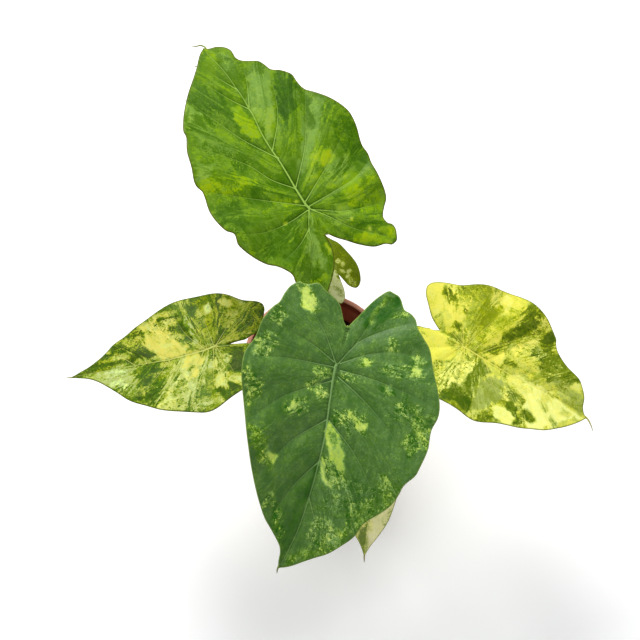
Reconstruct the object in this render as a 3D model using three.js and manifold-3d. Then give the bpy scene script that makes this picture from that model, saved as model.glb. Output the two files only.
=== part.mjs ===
// Potted giant taro: a young variegated plant with six leaf blades on their stalks, growing from
// a short stem in the soil of a thin plastic nursery pot. Millimetres, +Z up. The frame stands at
// the centre of the pot's flat base, and -Y is the plant's front.
import * as THREE from "three";
import { mergeVertices } from "three/addons/utils/BufferGeometryUtils.js";
import ManifoldModule from "manifold-3d";

const wasm = await ManifoldModule();
wasm.setup();

// Pot
const RIM_DIAMETER = 110;
const POT_HEIGHT = 100;
const BASE_DIAMETER = 78;
const POT_WALL = 1.4;
const LIP_WIDTH = 3.4;
const RIM_BAND_HEIGHT = 11;
const RIM_BAND_STEP = 1.6;
const DRAIN_HOLES = 8;
const DRAIN_HOLE_DIAMETER = 7;
const DRAIN_RING_DIAMETER = 52;
const CORNER_SLOT = { width: 9, height: 4, depth: 3 };
const POT_SIDES = 48;

// Soil
const SOIL_LEVEL = 73;
const SOIL_MOUND = 4;

// Stem
const STEM_RADIUS = 11.5;
const STEM_FOOT = 46;
const STEM_TOP = 90;
const ROOT_COUNT = 5;

// Plant
const CLEARANCE = 0.3;
const BLADE_THICKNESS = 0.8;
const MIDRIB_ROUNDING = 6;
const STALK_SIDES = 10;
const STALK_STEPS = 13;

const UP = new THREE.Vector3(0, 0, 1);
const radians = THREE.MathUtils.degToRad;

// Blades, largest first. Each outline is flat, in millimetres from the place where the stalk
// joins: u runs to the tip and v to the left of that. A half outline goes from the notch between
// the lobes to the tip. heading is the tip's compass angle from +X, pitch how far the tip points
// down, roll how far the left half is lifted, fold how far both halves rise from the midrib.
const BLADES = [
  {
    name: "front",
    at: [12, -59, 255], length: 125, heading: -106.6, pitch: 13, roll: -4, fold: 8,
    tipFall: 0.003, lobeFall: 0.004, wave: { height: 1.2, count: 9, phase: 0.4 },
    left: [
      [-24, -1], [-31, 3], [-42, 8], [-50, 16], [-50, 23], [-42, 30], [-33, 40], [-22, 50],
      [-11, 55], [1, 61], [13, 64], [21, 62], [33, 63], [44, 61], [53, 56], [65, 53],
      [79, 44], [92, 36], [104, 27], [113, 16], [120, 6], [125, 0],
    ],
    right: [
      [-24, -1], [-31, -5], [-38, -13], [-43, -24], [-41, -35], [-32, -42], [-20, -45],
      [-9, -50], [7, -53], [20, -52], [34, -46], [50, -40], [66, -33], [80, -26], [93, -18],
      [104, -10], [113, -3], [125, 0],
    ],
  },
  {
    name: "back",
    at: [-4, 67, 216], length: 136, heading: 123, pitch: -12, roll: 6, fold: 8,
    tipFall: 0.001, lobeFall: 0.003, wave: { height: 2.2, count: 8, phase: 2.2 },
    left: [
      [-21, 1], [-31, 1], [-43, 6], [-53, 15], [-56, 25], [-52, 34], [-42, 39], [-31, 40],
      [-21, 49], [-10, 57], [5, 58], [14, 63], [28, 63], [42, 60], [57, 59], [72, 53],
      [86, 47], [100, 38], [113, 25], [125, 12], [136, 0],
    ],
    right: [
      [-21, 1], [-30, -8], [-41, -20], [-48, -32], [-47, -39], [-36, -40], [-26, -43],
      [-15, -50], [2, -52], [14, -54], [28, -56], [42, -59], [55, -54], [70, -47], [84, -42],
      [95, -36], [104, -29], [113, -18], [125, -13], [132, -6], [136, 0],
    ],
  },
  {
    name: "left",
    at: [-69, -15, 172], length: 103, heading: -171.3, pitch: 8, roll: 14, fold: 5,
    tipFall: 0.0012, lobeFall: 0.003, wave: { height: 1.4, count: 7, phase: 1.1 },
    left: [
      [-8, 0.5], [-15, 1.4], [-22, 2.6], [-29, 7], [-31, 17], [-27, 30], [-19, 41], [-7, 48],
      [8, 53], [22, 50], [36, 46], [50, 36], [63, 28], [76, 17], [86, 8], [95, 3.5],
      [103, 0],
    ],
    right: [
      [-8, 0.5], [-15, -0.6], [-23, -2.4], [-30, -6], [-34, -14], [-35, -24], [-26, -31],
      [-13, -36], [3, -41], [17, -42], [30, -39], [44, -33], [58, -27], [71, -19], [83, -9],
      [92, -3.5], [103, 0],
    ],
  },
  {
    name: "right",
    at: [100, -17, 174], length: 94, heading: -30, pitch: 4, roll: -4, fold: 9,
    tipFall: 0.001, lobeFall: 0.003, wave: { height: 2, count: 8, phase: 0 },
    left: [
      [-20, 3.5], [-28, 10], [-37, 19], [-41, 26], [-34, 34], [-22, 39], [-8, 45], [8, 50],
      [22, 51], [35, 48], [47, 41], [55, 33], [65, 25], [76, 20], [85, 12], [94, 0],
    ],
    right: [
      [-20, 3.5], [-26, 0], [-35, -4], [-41, -14], [-37, -27], [-26, -38], [-10, -45],
      [8, -46], [26, -45], [41, -40], [55, -35], [68, -26], [80, -17], [88, -7], [94, 0],
    ],
  },
  {
    name: "small_back",
    at: [11, 70, 124], length: 40, heading: 117, pitch: 8, roll: 0, fold: 36,
    tipFall: 0.004, lobeFall: 0.006, wave: { height: 0.7, count: 5, phase: 0.5 },
    left: [
      [-12, 0], [-19, 1.5], [-26, 3], [-33, 7], [-36, 13], [-31, 18], [-20, 19], [-6, 18],
      [9, 15], [22, 9], [33, 3], [40, 0],
    ],
    right: [
      [-12, 0], [-18, -1.5], [-24, -3], [-29, -8], [-27, -13], [-18, -17], [-5, -17],
      [8, -14], [21, -9], [33, -3], [40, 0],
    ],
  },
  {
    name: "small_front",
    at: [38, -96, 118], length: 56, heading: -95, pitch: 24, roll: 0, fold: 32,
    tipFall: 0.004, lobeFall: 0.006, wave: { height: 0.8, count: 5, phase: 1.5 },
    left: [
      [-11, 0], [-18, 3], [-24, 9], [-24, 16], [-16, 22], [-3, 24], [12, 21], [26, 17],
      [37, 11], [47, 4.5], [56, 0],
    ],
    right: [
      [-11, 0], [-18, -3], [-25, -9], [-24, -16], [-15, -21], [-2, -23], [13, -20],
      [27, -17], [37, -11], [47, -4], [56, 0],
    ],
  },
];

// Leaf stalks, youngest first: an older stalk's foot wraps the younger ones. Each climbs from its
// place on the stem to its blade; rise and arrival set how far it keeps its first and last
// direction.
const STALKS = [
  { name: "front", foot: [1, -3, 82], lean: 8, rise: 60, arrival: 40, footRadius: 5, topRadius: 2.4 },
  { name: "back", foot: [-1, 4, 79], lean: 14, rise: 50, arrival: 38, footRadius: 5, topRadius: 2.4 },
  { name: "right", foot: [5, -1, 77], lean: 20, rise: 44, arrival: 34, footRadius: 4.6, topRadius: 2.1 },
  { name: "left", foot: [-5, -1, 75], lean: 18, rise: 38, arrival: 30, footRadius: 4.6, topRadius: 2.1 },
  { name: "small_back", foot: [2, 6, 74], lean: 14, rise: 32, arrival: 22, footRadius: 3.4, topRadius: 1.5 },
  { name: "small_front", foot: [3, -7, 73], lean: 14, rise: 42, arrival: 34, footRadius: 3.4, topRadius: 1.5 },
];

function closedSolid(geometry) {
  const bare = geometry.clone();
  bare.deleteAttribute("normal");
  bare.deleteAttribute("uv");
  const merged = mergeVertices(bare, 1e-4);
  const corners = merged.index.array;
  const kept = [];
  for (let i = 0; i < corners.length; i += 3) {
    const [a, b, c] = corners.slice(i, i + 3);
    if (a !== b && b !== c && c !== a) kept.push(a, b, c);
  }
  return new wasm.Manifold(new wasm.Mesh({
    numProp: 3,
    vertProperties: Float32Array.from(merged.attributes.position.array),
    triVerts: Uint32Array.from(kept),
  }));
}

function geometryOf(solid) {
  const mesh = solid.getMesh();
  const geometry = new THREE.BufferGeometry();
  geometry.setAttribute("position", new THREE.BufferAttribute(Float32Array.from(mesh.vertProperties), 3));
  geometry.setIndex(Array.from(mesh.triVerts));
  geometry.computeVertexNormals();
  return geometry;
}

function largestBody(solid) {
  const bodies = solid.decompose();
  return bodies.reduce((best, body) => (body.volume() > best.volume() ? body : best));
}

// A closed solid of revolution about Z, from a profile of [radius, height] points.
function turned(profile, sides) {
  const points = profile.map(([radius, height]) => new THREE.Vector2(radius, height));
  const geometry = new THREE.LatheGeometry(points, sides);
  geometry.rotateX(Math.PI / 2);
  const solid = closedSolid(geometry);
  return solid.volume() > 0 ? solid : closedSolid(flipped(geometry));
}

function flipped(geometry) {
  const turnedOver = geometry.clone();
  const corners = turnedOver.index.array;
  for (let i = 0; i < corners.length; i += 3) {
    [corners[i + 1], corners[i + 2]] = [corners[i + 2], corners[i + 1]];
  }
  return turnedOver;
}

// Pot: a thin tapered shell with a flat lip, a stepped band under it and drain holes.
function potSolid() {
  const rim = RIM_DIAMETER / 2;
  const base = BASE_DIAMETER / 2;
  const bandFoot = POT_HEIGHT - RIM_BAND_HEIGHT;
  const neck = rim - RIM_BAND_STEP - 0.8;
  const mouth = rim - LIP_WIDTH;
  const shell = turned([
    [0, 0],
    [base - 2, 0],
    [base - 0.5, 0.6],
    [base, 2],
    [neck, bandFoot],
    [rim - 0.8, bandFoot + 0.9],
    [rim - 0.5, bandFoot + 2],
    [rim, POT_HEIGHT - 0.8],
    [rim - 0.6, POT_HEIGHT],
    [mouth + 0.4, POT_HEIGHT],
    [mouth, POT_HEIGHT - 0.5],
    [mouth, POT_HEIGHT - 1.6],
    [neck - POT_WALL + 0.3, POT_HEIGHT - 3],
    [neck - POT_WALL, bandFoot - 1],
    [base - POT_WALL, POT_WALL + 1.5],
    [base - POT_WALL - 1.4, POT_WALL],
    [0, POT_WALL],
  ], POT_SIDES);
  const step = (2 * Math.PI) / DRAIN_HOLES;
  let solid = shell;
  for (let i = 0; i < DRAIN_HOLES; i++) {
    const hole = new THREE.CylinderGeometry(
      DRAIN_HOLE_DIAMETER / 2, DRAIN_HOLE_DIAMETER / 2, 6, 16);
    hole.rotateX(Math.PI / 2);
    hole.translate(DRAIN_RING_DIAMETER / 2, 0, 0);
    hole.rotateZ(i * step);
    const slot = new THREE.BoxGeometry(
      2 * CORNER_SLOT.depth, CORNER_SLOT.width, 2 * CORNER_SLOT.height);
    slot.translate(base, 0, 0);
    slot.rotateZ((i + 0.5) * step);
    solid = solid.subtract(closedSolid(hole)).subtract(closedSolid(slot));
  }
  return solid;
}

// Inner radius of the pot's wall at a height.
function potInside(height) {
  const low = [POT_WALL + 1.5, BASE_DIAMETER / 2 - POT_WALL];
  const high = [POT_HEIGHT - RIM_BAND_HEIGHT - 1, RIM_DIAMETER / 2 - RIM_BAND_STEP - 0.8 - POT_WALL];
  const share = (height - low[0]) / (high[0] - low[0]);
  return low[1] + share * (high[1] - low[1]);
}

// Soil: one body that fills the pot to below its lip, mounded at the stem.
function soilSolid() {
  const floor = POT_WALL + CLEARANCE;
  const edge = potInside(SOIL_LEVEL) - 0.9 * CLEARANCE - 0.15;
  return turned([
    [0, floor],
    [potInside(floor + 2) - 2.2, floor],
    [potInside(floor + 3) - 0.45, floor + 3],
    [edge, SOIL_LEVEL - 0.6],
    [edge - 1.2, SOIL_LEVEL],
    [edge - 12, SOIL_LEVEL + 0.8],
    [24, SOIL_LEVEL + 0.3],
    [15, SOIL_LEVEL + 0.8 * SOIL_MOUND],
    [0, SOIL_LEVEL + SOIL_MOUND],
  ], POT_SIDES - 8);
}

// Stem: a short ringed corm with a few thick roots that turn down into the soil.
function stemSolid(grow = 0) {
  let solid = turned([
    [0, STEM_FOOT - grow],
    [0.6 * STEM_RADIUS + grow, STEM_FOOT + 2 - grow],
    [0.95 * STEM_RADIUS + grow, STEM_FOOT + 9],
    [STEM_RADIUS + grow, STEM_FOOT + 18],
    [0.93 * STEM_RADIUS + grow, STEM_FOOT + 27],
    [0.8 * STEM_RADIUS + grow, STEM_TOP - 11],
    [0.55 * STEM_RADIUS + grow, STEM_TOP - 5],
    [0.25 * STEM_RADIUS + grow, STEM_TOP - 1 + grow],
    [0, STEM_TOP + grow],
  ], 24);
  for (let i = 0; i < ROOT_COUNT; i++) {
    const angle = ((i + 0.3) / ROOT_COUNT) * 2 * Math.PI + 0.4 * Math.sin(3 * i);
    const out = new THREE.Vector3(Math.cos(angle), Math.sin(angle), 0);
    const reach = 24 + 5 * Math.cos(2.4 * i);
    const path = new THREE.CubicBezierCurve3(
      out.clone().multiplyScalar(5).setZ(STEM_FOOT + 14),
      out.clone().multiplyScalar(16).setZ(STEM_FOOT + 15),
      out.clone().multiplyScalar(reach).setZ(STEM_FOOT + 8),
      out.clone().multiplyScalar(reach + 3).setZ(STEM_FOOT - 22 - grow));
    solid = solid.add(sweptStalk(path, 2.2 + grow, 1.1 + grow, 6, 6));
  }
  return solid;
}

// A round rod along a curve, its radius going from the first to the last value.
function sweptStalk(path, footRadius, topRadius, sides, steps) {
  const frames = path.computeFrenetFrames(steps, false);
  const positions = [];
  const corners = [];
  const side = new THREE.Vector3();
  for (let i = 0; i <= steps; i++) {
    const centre = path.getPointAt(i / steps);
    const radius = footRadius + (topRadius - footRadius) * Math.pow(i / steps, 0.7);
    for (let j = 0; j < sides; j++) {
      const turn = (j / sides) * 2 * Math.PI;
      side.copy(frames.normals[i]).multiplyScalar(Math.cos(turn) * radius);
      side.addScaledVector(frames.binormals[i], Math.sin(turn) * radius);
      positions.push(centre.x + side.x, centre.y + side.y, centre.z + side.z);
    }
  }
  for (let i = 0; i < steps; i++) {
    for (let j = 0; j < sides; j++) {
      const a = i * sides + j;
      const b = i * sides + ((j + 1) % sides);
      corners.push(a, b, b + sides, a, b + sides, a + sides);
    }
  }
  const last = steps * sides;
  for (let j = 1; j < sides - 1; j++) {
    corners.push(0, j + 1, j, last, last + j, last + j + 1);
  }
  const geometry = new THREE.BufferGeometry();
  geometry.setAttribute("position", new THREE.Float32BufferAttribute(positions, 3));
  geometry.setIndex(corners);
  const solid = closedSolid(geometry);
  return solid.volume() > 0 ? solid : closedSolid(flipped(geometry));
}

// The three directions of a blade at its stalk: along the midrib, to the left, and up.
function bladeAxes(blade) {
  const heading = radians(blade.heading);
  const pitch = radians(blade.pitch);
  const roll = radians(blade.roll);
  const along = new THREE.Vector3(
    Math.cos(heading) * Math.cos(pitch), Math.sin(heading) * Math.cos(pitch), -Math.sin(pitch));
  const level = new THREE.Vector3(-Math.sin(heading), Math.cos(heading), 0);
  const normal = along.clone().cross(level);
  const left = level.clone().multiplyScalar(Math.cos(roll)).addScaledVector(normal, Math.sin(roll));
  const up = normal.clone().multiplyScalar(Math.cos(roll)).addScaledVector(level, -Math.sin(roll));
  return { along, left, up };
}

// Where a flat point of the blade lies in space: the midrib bends down towards the tip and the
// lobes, the halves rise from the midrib, and the margin is wavy.
function bladePoint(blade, u, v, share) {
  const { along, left, up } = bladeAxes(blade);
  const fold = radians(blade.fold);
  const bend = u >= 0 ? blade.tipFall : blade.lobeFall;
  const turn = bend * u;
  const spread = Math.hypot(v, MIDRIB_ROUNDING) - MIDRIB_ROUNDING;
  const ripple = blade.wave.height * Math.pow(share, 3)
    * Math.sin(blade.wave.count * Math.atan2(v, u) + blade.wave.phase);
  const height = Math.sin(fold) * spread + ripple;
  return new THREE.Vector3(...blade.at)
    .addScaledVector(along, Math.sin(turn) / bend + height * Math.sin(turn))
    .addScaledVector(left, v * Math.cos(fold))
    .addScaledVector(up, height * Math.cos(turn) - (1 - Math.cos(turn)) / bend);
}

function bladeNormal(blade, u, v, share) {
  const step = 0.5;
  const alongU = bladePoint(blade, u + step, v, share).sub(bladePoint(blade, u - step, v, share));
  const alongV = bladePoint(blade, u, v + step, share).sub(bladePoint(blade, u, v - step, share));
  return alongU.cross(alongV).normalize();
}

// The closed outline: from the notch along the left half to the tip, and back along the right.
function bladeOutline(blade, perHalf) {
  const half = (points) => new THREE.CatmullRomCurve3(
    points.map(([u, v]) => new THREE.Vector3(u, v, 0)), false, "centripetal").getSpacedPoints(perHalf);
  const left = half(blade.left);
  const right = half(blade.right).reverse();
  return [...left, ...right.slice(1, -1)];
}

// Blade: a thin curved plate, built as rings of the outline around the stalk's place.
function bladeSolid(blade, thickness = BLADE_THICKNESS) {
  const large = blade.length > 80;
  const outline = bladeOutline(blade, large ? 22 : 15);
  const rings = large ? 5 : 4;
  const count = outline.length;
  const positions = [];
  for (const face of [1, -1]) {
    const place = (u, v, share) => {
      const point = bladePoint(blade, u, v, share);
      point.addScaledVector(bladeNormal(blade, u, v, share), (face * thickness) / 2);
      positions.push(point.x, point.y, point.z);
    };
    place(0, 0, 0);
    for (let ring = 1; ring <= rings; ring++) {
      const share = ring / rings;
      for (const { x, y } of outline) place(x * share, y * share, share);
    }
  }
  const underside = positions.length / 6;
  const vertex = (ring, i) => 1 + (ring - 1) * count + (i % count);
  const corners = [];
  const both = (a, b, c) => {
    corners.push(a, c, b, underside + a, underside + b, underside + c);
  };
  for (let i = 0; i < count; i++) {
    both(0, vertex(1, i), vertex(1, i + 1));
    for (let ring = 1; ring < rings; ring++) {
      const [a, b] = [vertex(ring, i), vertex(ring, i + 1)];
      const [c, d] = [vertex(ring + 1, i), vertex(ring + 1, i + 1)];
      both(a, c, d);
      both(a, d, b);
    }
    const [a, b] = [vertex(rings, i), vertex(rings, i + 1)];
    corners.push(a, b, underside + b, a, underside + b, underside + a);
  }
  const geometry = new THREE.BufferGeometry();
  geometry.setAttribute("position", new THREE.Float32BufferAttribute(positions, 3));
  geometry.setIndex(corners);
  const solid = closedSolid(geometry);
  return solid.volume() > 0 ? solid : closedSolid(flipped(geometry));
}

// A stalk's curve: out of the stem at its lean, and up under the blade along the blade's own
// upward direction.
function stalkPath(stalk) {
  const blade = BLADES.find(({ name }) => name === stalk.name);
  const foot = new THREE.Vector3(...stalk.foot);
  const end = new THREE.Vector3(...blade.at);
  const outward = end.clone().sub(foot).setZ(0).normalize();
  const lean = radians(stalk.lean);
  const start = UP.clone().multiplyScalar(Math.cos(lean)).addScaledVector(outward, Math.sin(lean));
  const arrive = end.clone().sub(foot).normalize().add(outward.clone().multiplyScalar(0.35)).normalize();
  return new THREE.CubicBezierCurve3(
    foot,
    foot.clone().addScaledVector(start, stalk.rise),
    end.clone().addScaledVector(arrive, -stalk.arrival),
    end);
}

function stalkSolid(stalk, grow = 0) {
  return sweptStalk(stalkPath(stalk), stalk.footRadius + grow, stalk.topRadius + grow,
    STALK_SIDES, STALK_STEPS);
}

const MATERIALS = {
  pot: { color: 0x9c4630, roughness: 0.7 },
  soil: { color: 0x3b2a1e, roughness: 1 },
  stem: { color: 0x7d7a4a, roughness: 0.7 },
  stalk: { color: 0x7f9a4a, roughness: 0.55 },
  front: { color: 0x4f7a38, roughness: 0.5 },
  back: { color: 0x5d9a2a, roughness: 0.45 },
  left: { color: 0x8fa83c, roughness: 0.5 },
  right: { color: 0xb4c04a, roughness: 0.5 },
  small_back: { color: 0x7d8c2c, roughness: 0.5 },
  small_front: { color: 0xb7b868, roughness: 0.55 },
};

const plant = new THREE.Group();
plant.name = "potted_giant_taro";

function addNode(name, solid, look) {
  const material = new THREE.MeshStandardMaterial({ ...MATERIALS[look], metalness: 0 });
  material.side = THREE.FrontSide;
  const mesh = new THREE.Mesh(geometryOf(solid), material);
  mesh.name = name;
  plant.add(mesh);
}

const stemGap = stemSolid(CLEARANCE);
let soil = soilSolid().subtract(stemGap);
addNode("pot", potSolid(), "pot");
addNode("stem_base", stemSolid(), "stem");

let younger = stemGap;
for (const stalk of STALKS) {
  const blade = BLADES.find(({ name }) => name === stalk.name);
  const bladeGap = bladeSolid(blade, BLADE_THICKNESS + 2 * CLEARANCE);
  const solid = largestBody(stalkSolid(stalk).subtract(younger).subtract(bladeGap));
  addNode(`petiole_${stalk.name}`, solid, "stalk");
  younger = younger.add(stalkSolid(stalk, CLEARANCE + 0.05));
}
soil = largestBody(soil.subtract(younger));
addNode("soil", soil, "soil");
for (const blade of BLADES) addNode(`blade_${blade.name}`, bladeSolid(blade), blade.name);

export default plant;
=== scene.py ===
import math

import bpy
import numpy as np
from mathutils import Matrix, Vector, kdtree, noise
from mathutils.geometry import delaunay_2d_cdt


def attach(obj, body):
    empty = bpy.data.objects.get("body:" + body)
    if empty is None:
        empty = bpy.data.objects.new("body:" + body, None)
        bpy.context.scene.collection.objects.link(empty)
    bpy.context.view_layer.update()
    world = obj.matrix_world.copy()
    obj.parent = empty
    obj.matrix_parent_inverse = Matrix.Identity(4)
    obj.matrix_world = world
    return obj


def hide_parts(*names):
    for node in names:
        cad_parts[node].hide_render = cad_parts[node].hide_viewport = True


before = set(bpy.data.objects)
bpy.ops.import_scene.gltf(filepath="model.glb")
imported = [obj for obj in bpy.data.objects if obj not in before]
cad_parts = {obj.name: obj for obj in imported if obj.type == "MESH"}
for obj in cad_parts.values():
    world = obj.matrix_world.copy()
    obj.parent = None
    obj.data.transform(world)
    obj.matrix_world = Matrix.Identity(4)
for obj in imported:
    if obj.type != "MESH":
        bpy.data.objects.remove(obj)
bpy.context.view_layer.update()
scene = bpy.context.scene
MM = 0.001
# Without a seed of its own, noise_vector differs from run to run.
noise.seed_set(4)


# Camera
# It stands and looks as the photo's did, about 0.82 m from the pot, in metres.
CAMERA_PLACE = (0.0026, -0.2434, 0.7818)
CAMERA_DOWN_DEG = 68
camera_data = bpy.data.cameras.new("studio_camera")
camera_data.lens = 54
camera_data.sensor_width = 36
camera_data.clip_start = 0.05
camera_data.clip_end = 80
camera = bpy.data.objects.new("studio_camera", camera_data)
camera.location = CAMERA_PLACE
camera.rotation_euler = (math.radians(90 - CAMERA_DOWN_DEG), 0, 0)
scene.collection.objects.link(camera)
scene.camera = camera
scene.view_settings.view_transform = "Standard"


# Node wiring
def paint(red, green, blue):
    """A colour given as it looks on a screen, 0 to 255, as the linear values a socket holds."""
    return tuple(
        c / 12.92 if c <= 0.04045 else ((c + 0.055) / 1.055) ** 2.4
        for c in (red / 255, green / 255, blue / 255)
    ) + (1.0,)


class Field:
    """One output of a node. It adds, multiplies and compares as a number does."""

    def __init__(self, net, socket):
        self.net, self.socket = net, socket

    def math(self, operation, *values, clamp=False):
        node = self.net.add("ShaderNodeMath", operation=operation, use_clamp=clamp)
        for socket, value in zip(node.inputs, values):
            self.net.give(socket, value)
        return Field(self.net, node.outputs[0])

    def __rsub__(self, other):
        return self.math("SUBTRACT", other, self)

    def __rtruediv__(self, other):
        return self.math("DIVIDE", other, self)

    def clamped(self):
        return self.math("ADD", self, 0.0, clamp=True)

    def eased(self, low, high, start=0.0, end=1.0):
        """start below low, end above high, and a smooth step between them."""
        return self.net.out(
            "ShaderNodeMapRange",
            {"Value": self, "From Min": low, "From Max": high, "To Min": start, "To Max": end},
            interpolation_type="SMOOTHSTEP",
        )


def field_method(operation):
    """A method of a field that does this sum with the field and with what it is given."""
    return lambda field, *values: field.math(operation, field, *values)


for method, operation in {
    "__add__": "ADD", "__radd__": "ADD", "__sub__": "SUBTRACT", "__mul__": "MULTIPLY",
    "__rmul__": "MULTIPLY", "__truediv__": "DIVIDE", "__pow__": "POWER",
    "__gt__": "GREATER_THAN", "__lt__": "LESS_THAN", "sin": "SINE", "cos": "COSINE",
    "exp": "EXPONENT", "root": "SQRT", "rounded": "ROUND", "maximum": "MAXIMUM",
    "arctan2": "ARCTAN2",
}.items():
    setattr(Field, method, field_method(operation))


class Net:
    """A node tree being wired. A value given to an input is linked if it comes from a node."""

    def __init__(self, tree):
        self.tree = tree

    def add(self, kind, inputs=None, **settings):
        node = self.tree.nodes.new(kind)
        for name, value in settings.items():
            setattr(node, name, value)
        for key, value in (inputs or {}).items():
            self.give(node.inputs[key], value)
        return node

    def give(self, socket, value):
        value = value.socket if isinstance(value, Field) else value
        if isinstance(value, bpy.types.NodeSocket):
            self.tree.links.new(value, socket)
        else:
            socket.default_value = value

    def out(self, kind, inputs=None, pick=0, **settings):
        return Field(self, self.add(kind, inputs, **settings).outputs[pick])

    def vector(self, operation, *values, pick=0):
        node = self.add("ShaderNodeVectorMath", operation=operation)
        for socket, value in zip(node.inputs, values):
            self.give(socket, value)
        return Field(self, node.outputs[pick])

    def scaled(self, vector, factor):
        return self.out("ShaderNodeVectorMath", {"Vector": vector, "Scale": factor}, operation="SCALE")

    def centred(self, color):
        """A random colour as a vector about zero."""
        return self.vector("SUBTRACT", color, (0.5, 0.5, 0.5))

    def apart(self, vector):
        node = self.add("ShaderNodeSeparateXYZ", {0: vector})
        return [Field(self, node.outputs[k]) for k in range(3)]

    def joined(self, x, y, z):
        return self.out("ShaderNodeCombineXYZ", {0: x, 1: y, 2: z})

    def mixed(self, factor, a, b, blend="MIX"):
        return self.out(
            "ShaderNodeMix", {0: factor, 6: a, 7: b}, 2, data_type="RGBA", blend_type=blend
        )

    def ramp(self, value, stops):
        node = self.add("ShaderNodeValToRGB", {0: value})
        elements = node.color_ramp.elements
        while len(elements) < len(stops):
            elements.new(1.0)
        for element, (place, colour) in zip(elements, stops):
            element.position, element.color = place, colour
        return Field(self, node.outputs[0])

    def noise(self, where, scale, detail=2.0, rough=0.5, pick=0):
        return self.out(
            "ShaderNodeTexNoise",
            {"Vector": where, "Scale": scale, "Detail": detail, "Roughness": rough}, pick,
        )

    def cells(self, where, scale, pick="Color", feature="F1"):
        return self.out(
            "ShaderNodeTexVoronoi", {"Vector": where, "Scale": scale}, pick, feature=feature
        )

    # What geometry trees repeat
    def position(self):
        return self.out("GeometryNodeInputPosition")

    def normal(self):
        return self.out("GeometryNodeInputNormal")

    def named(self, label, kind="FLOAT"):
        """A value that the mesh holds for each point."""
        return self.out(
            "GeometryNodeInputNamedAttribute", {"Name": label}, "Attribute", data_type=kind
        )

    def stored(self, geometry, label, value, kind="FLOAT"):
        """The geometry with one more value for each point."""
        return self.out(
            "GeometryNodeStoreNamedAttribute",
            {"Geometry": geometry, "Name": label, "Value": value}, data_type=kind, domain="POINT",
        )

    def moved(self, geometry, **where):
        """The geometry at a new Position, or moved by an Offset."""
        return self.out("GeometryNodeSetPosition", {"Geometry": geometry, **where})

    def one(self, *shapes):
        """The shapes as one geometry."""
        node = self.add("GeometryNodeJoinGeometry")
        for shape in shapes:
            self.give(node.inputs[0], shape)
        return Field(self, node.outputs[0])

    def real(self, geometry):
        return self.out("GeometryNodeRealizeInstances", {"Geometry": geometry})

    def welded(self, geometry, distance=1e-6):
        inputs = {"Geometry": geometry, "Distance": distance}
        return self.out("GeometryNodeMergeByDistance", inputs)

    def line_of(self, geometry, **selection):
        return self.out("GeometryNodeMeshToCurve", {"Mesh": geometry, **selection})

    def tube(self, line, sides, radius):
        """A tube with closed ends along a line."""
        circle = self.out("GeometryNodeCurvePrimitiveCircle", {"Resolution": sides, "Radius": 1.0})
        return self.out("GeometryNodeCurveToMesh", {
            "Curve": line, "Profile Curve": circle, "Scale": radius, "Fill Caps": True,
        })

    def shaded(self, geometry, smooth, domain="FACE", **where):
        inputs = {"Geometry": geometry, "Shade Smooth": smooth, **where}
        return self.out("GeometryNodeSetShadeSmooth", inputs, domain=domain)

    def finish(self, end, geometry, material):
        self.give(end.inputs[0], self.out(
            "GeometryNodeSetMaterial", {"Geometry": geometry, "Material": material}))


def new_group(name, kind, inputs, outputs):
    """An empty node group with named sockets: its tree, its net, its inputs by name, its exit."""
    tree = bpy.data.node_groups.new(name, kind)
    for label, socket, value in inputs:
        made = tree.interface.new_socket(label, in_out="INPUT", socket_type=socket)
        if value is not None:
            made.default_value = value
    for label, socket in outputs:
        tree.interface.new_socket(label, in_out="OUTPUT", socket_type=socket)
    net = Net(tree)
    entry = tree.nodes.new("NodeGroupInput")
    given = {label: Field(net, entry.outputs[label]) for label, _, _ in inputs}
    return tree, net, given, tree.nodes.new("NodeGroupOutput")


FLOAT, VECTOR, COLOR = "NodeSocketFloat", "NodeSocketVector", "NodeSocketColor"
GEOMETRY, MATERIAL, WHOLE = "NodeSocketGeometry", "NodeSocketMaterial", "NodeSocketInt"


def new_geometry(name, *inputs):
    """An empty geometry tree that takes a mesh, these values and a material."""
    return new_group(
        name, "GeometryNodeTree",
        [("Geometry", GEOMETRY, None), *inputs, ("Material", MATERIAL, None)],
        [("Geometry", GEOMETRY)],
    )


def placed_group(net, tree, **values):
    """A shader node group placed in a material with its own values, its outputs by name."""
    node = net.add("ShaderNodeGroup", node_tree=tree)
    for label, value in values.items():
        net.give(node.inputs[label.replace("_", " ")], value)
    return {socket.name: Field(net, socket) for socket in node.outputs}


def new_material(name, **constants):
    """A material with one Principled BSDF, whose plain sockets are set from constants."""
    material = bpy.data.materials.new(name)
    material.use_nodes = True
    net = Net(material.node_tree)
    shader = material.node_tree.nodes["Principled BSDF"]
    for label, value in constants.items():
        shader.inputs[label.replace("_", " ")].default_value = value
    return material, net, shader


def finish_surface(net, shader, color, roughness, height, depth, coat=None):
    """Feeds the shader its colour, roughness and a bump of that depth in metres."""
    net.give(shader.inputs["Base Color"], color)
    net.give(shader.inputs["Roughness"], roughness)
    bump = net.out("ShaderNodeBump", {"Strength": 1.0, "Distance": depth, "Height": height})
    net.give(shader.inputs["Normal"], bump)
    if coat is not None:
        net.give(shader.inputs["Coat Weight"], coat)


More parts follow.
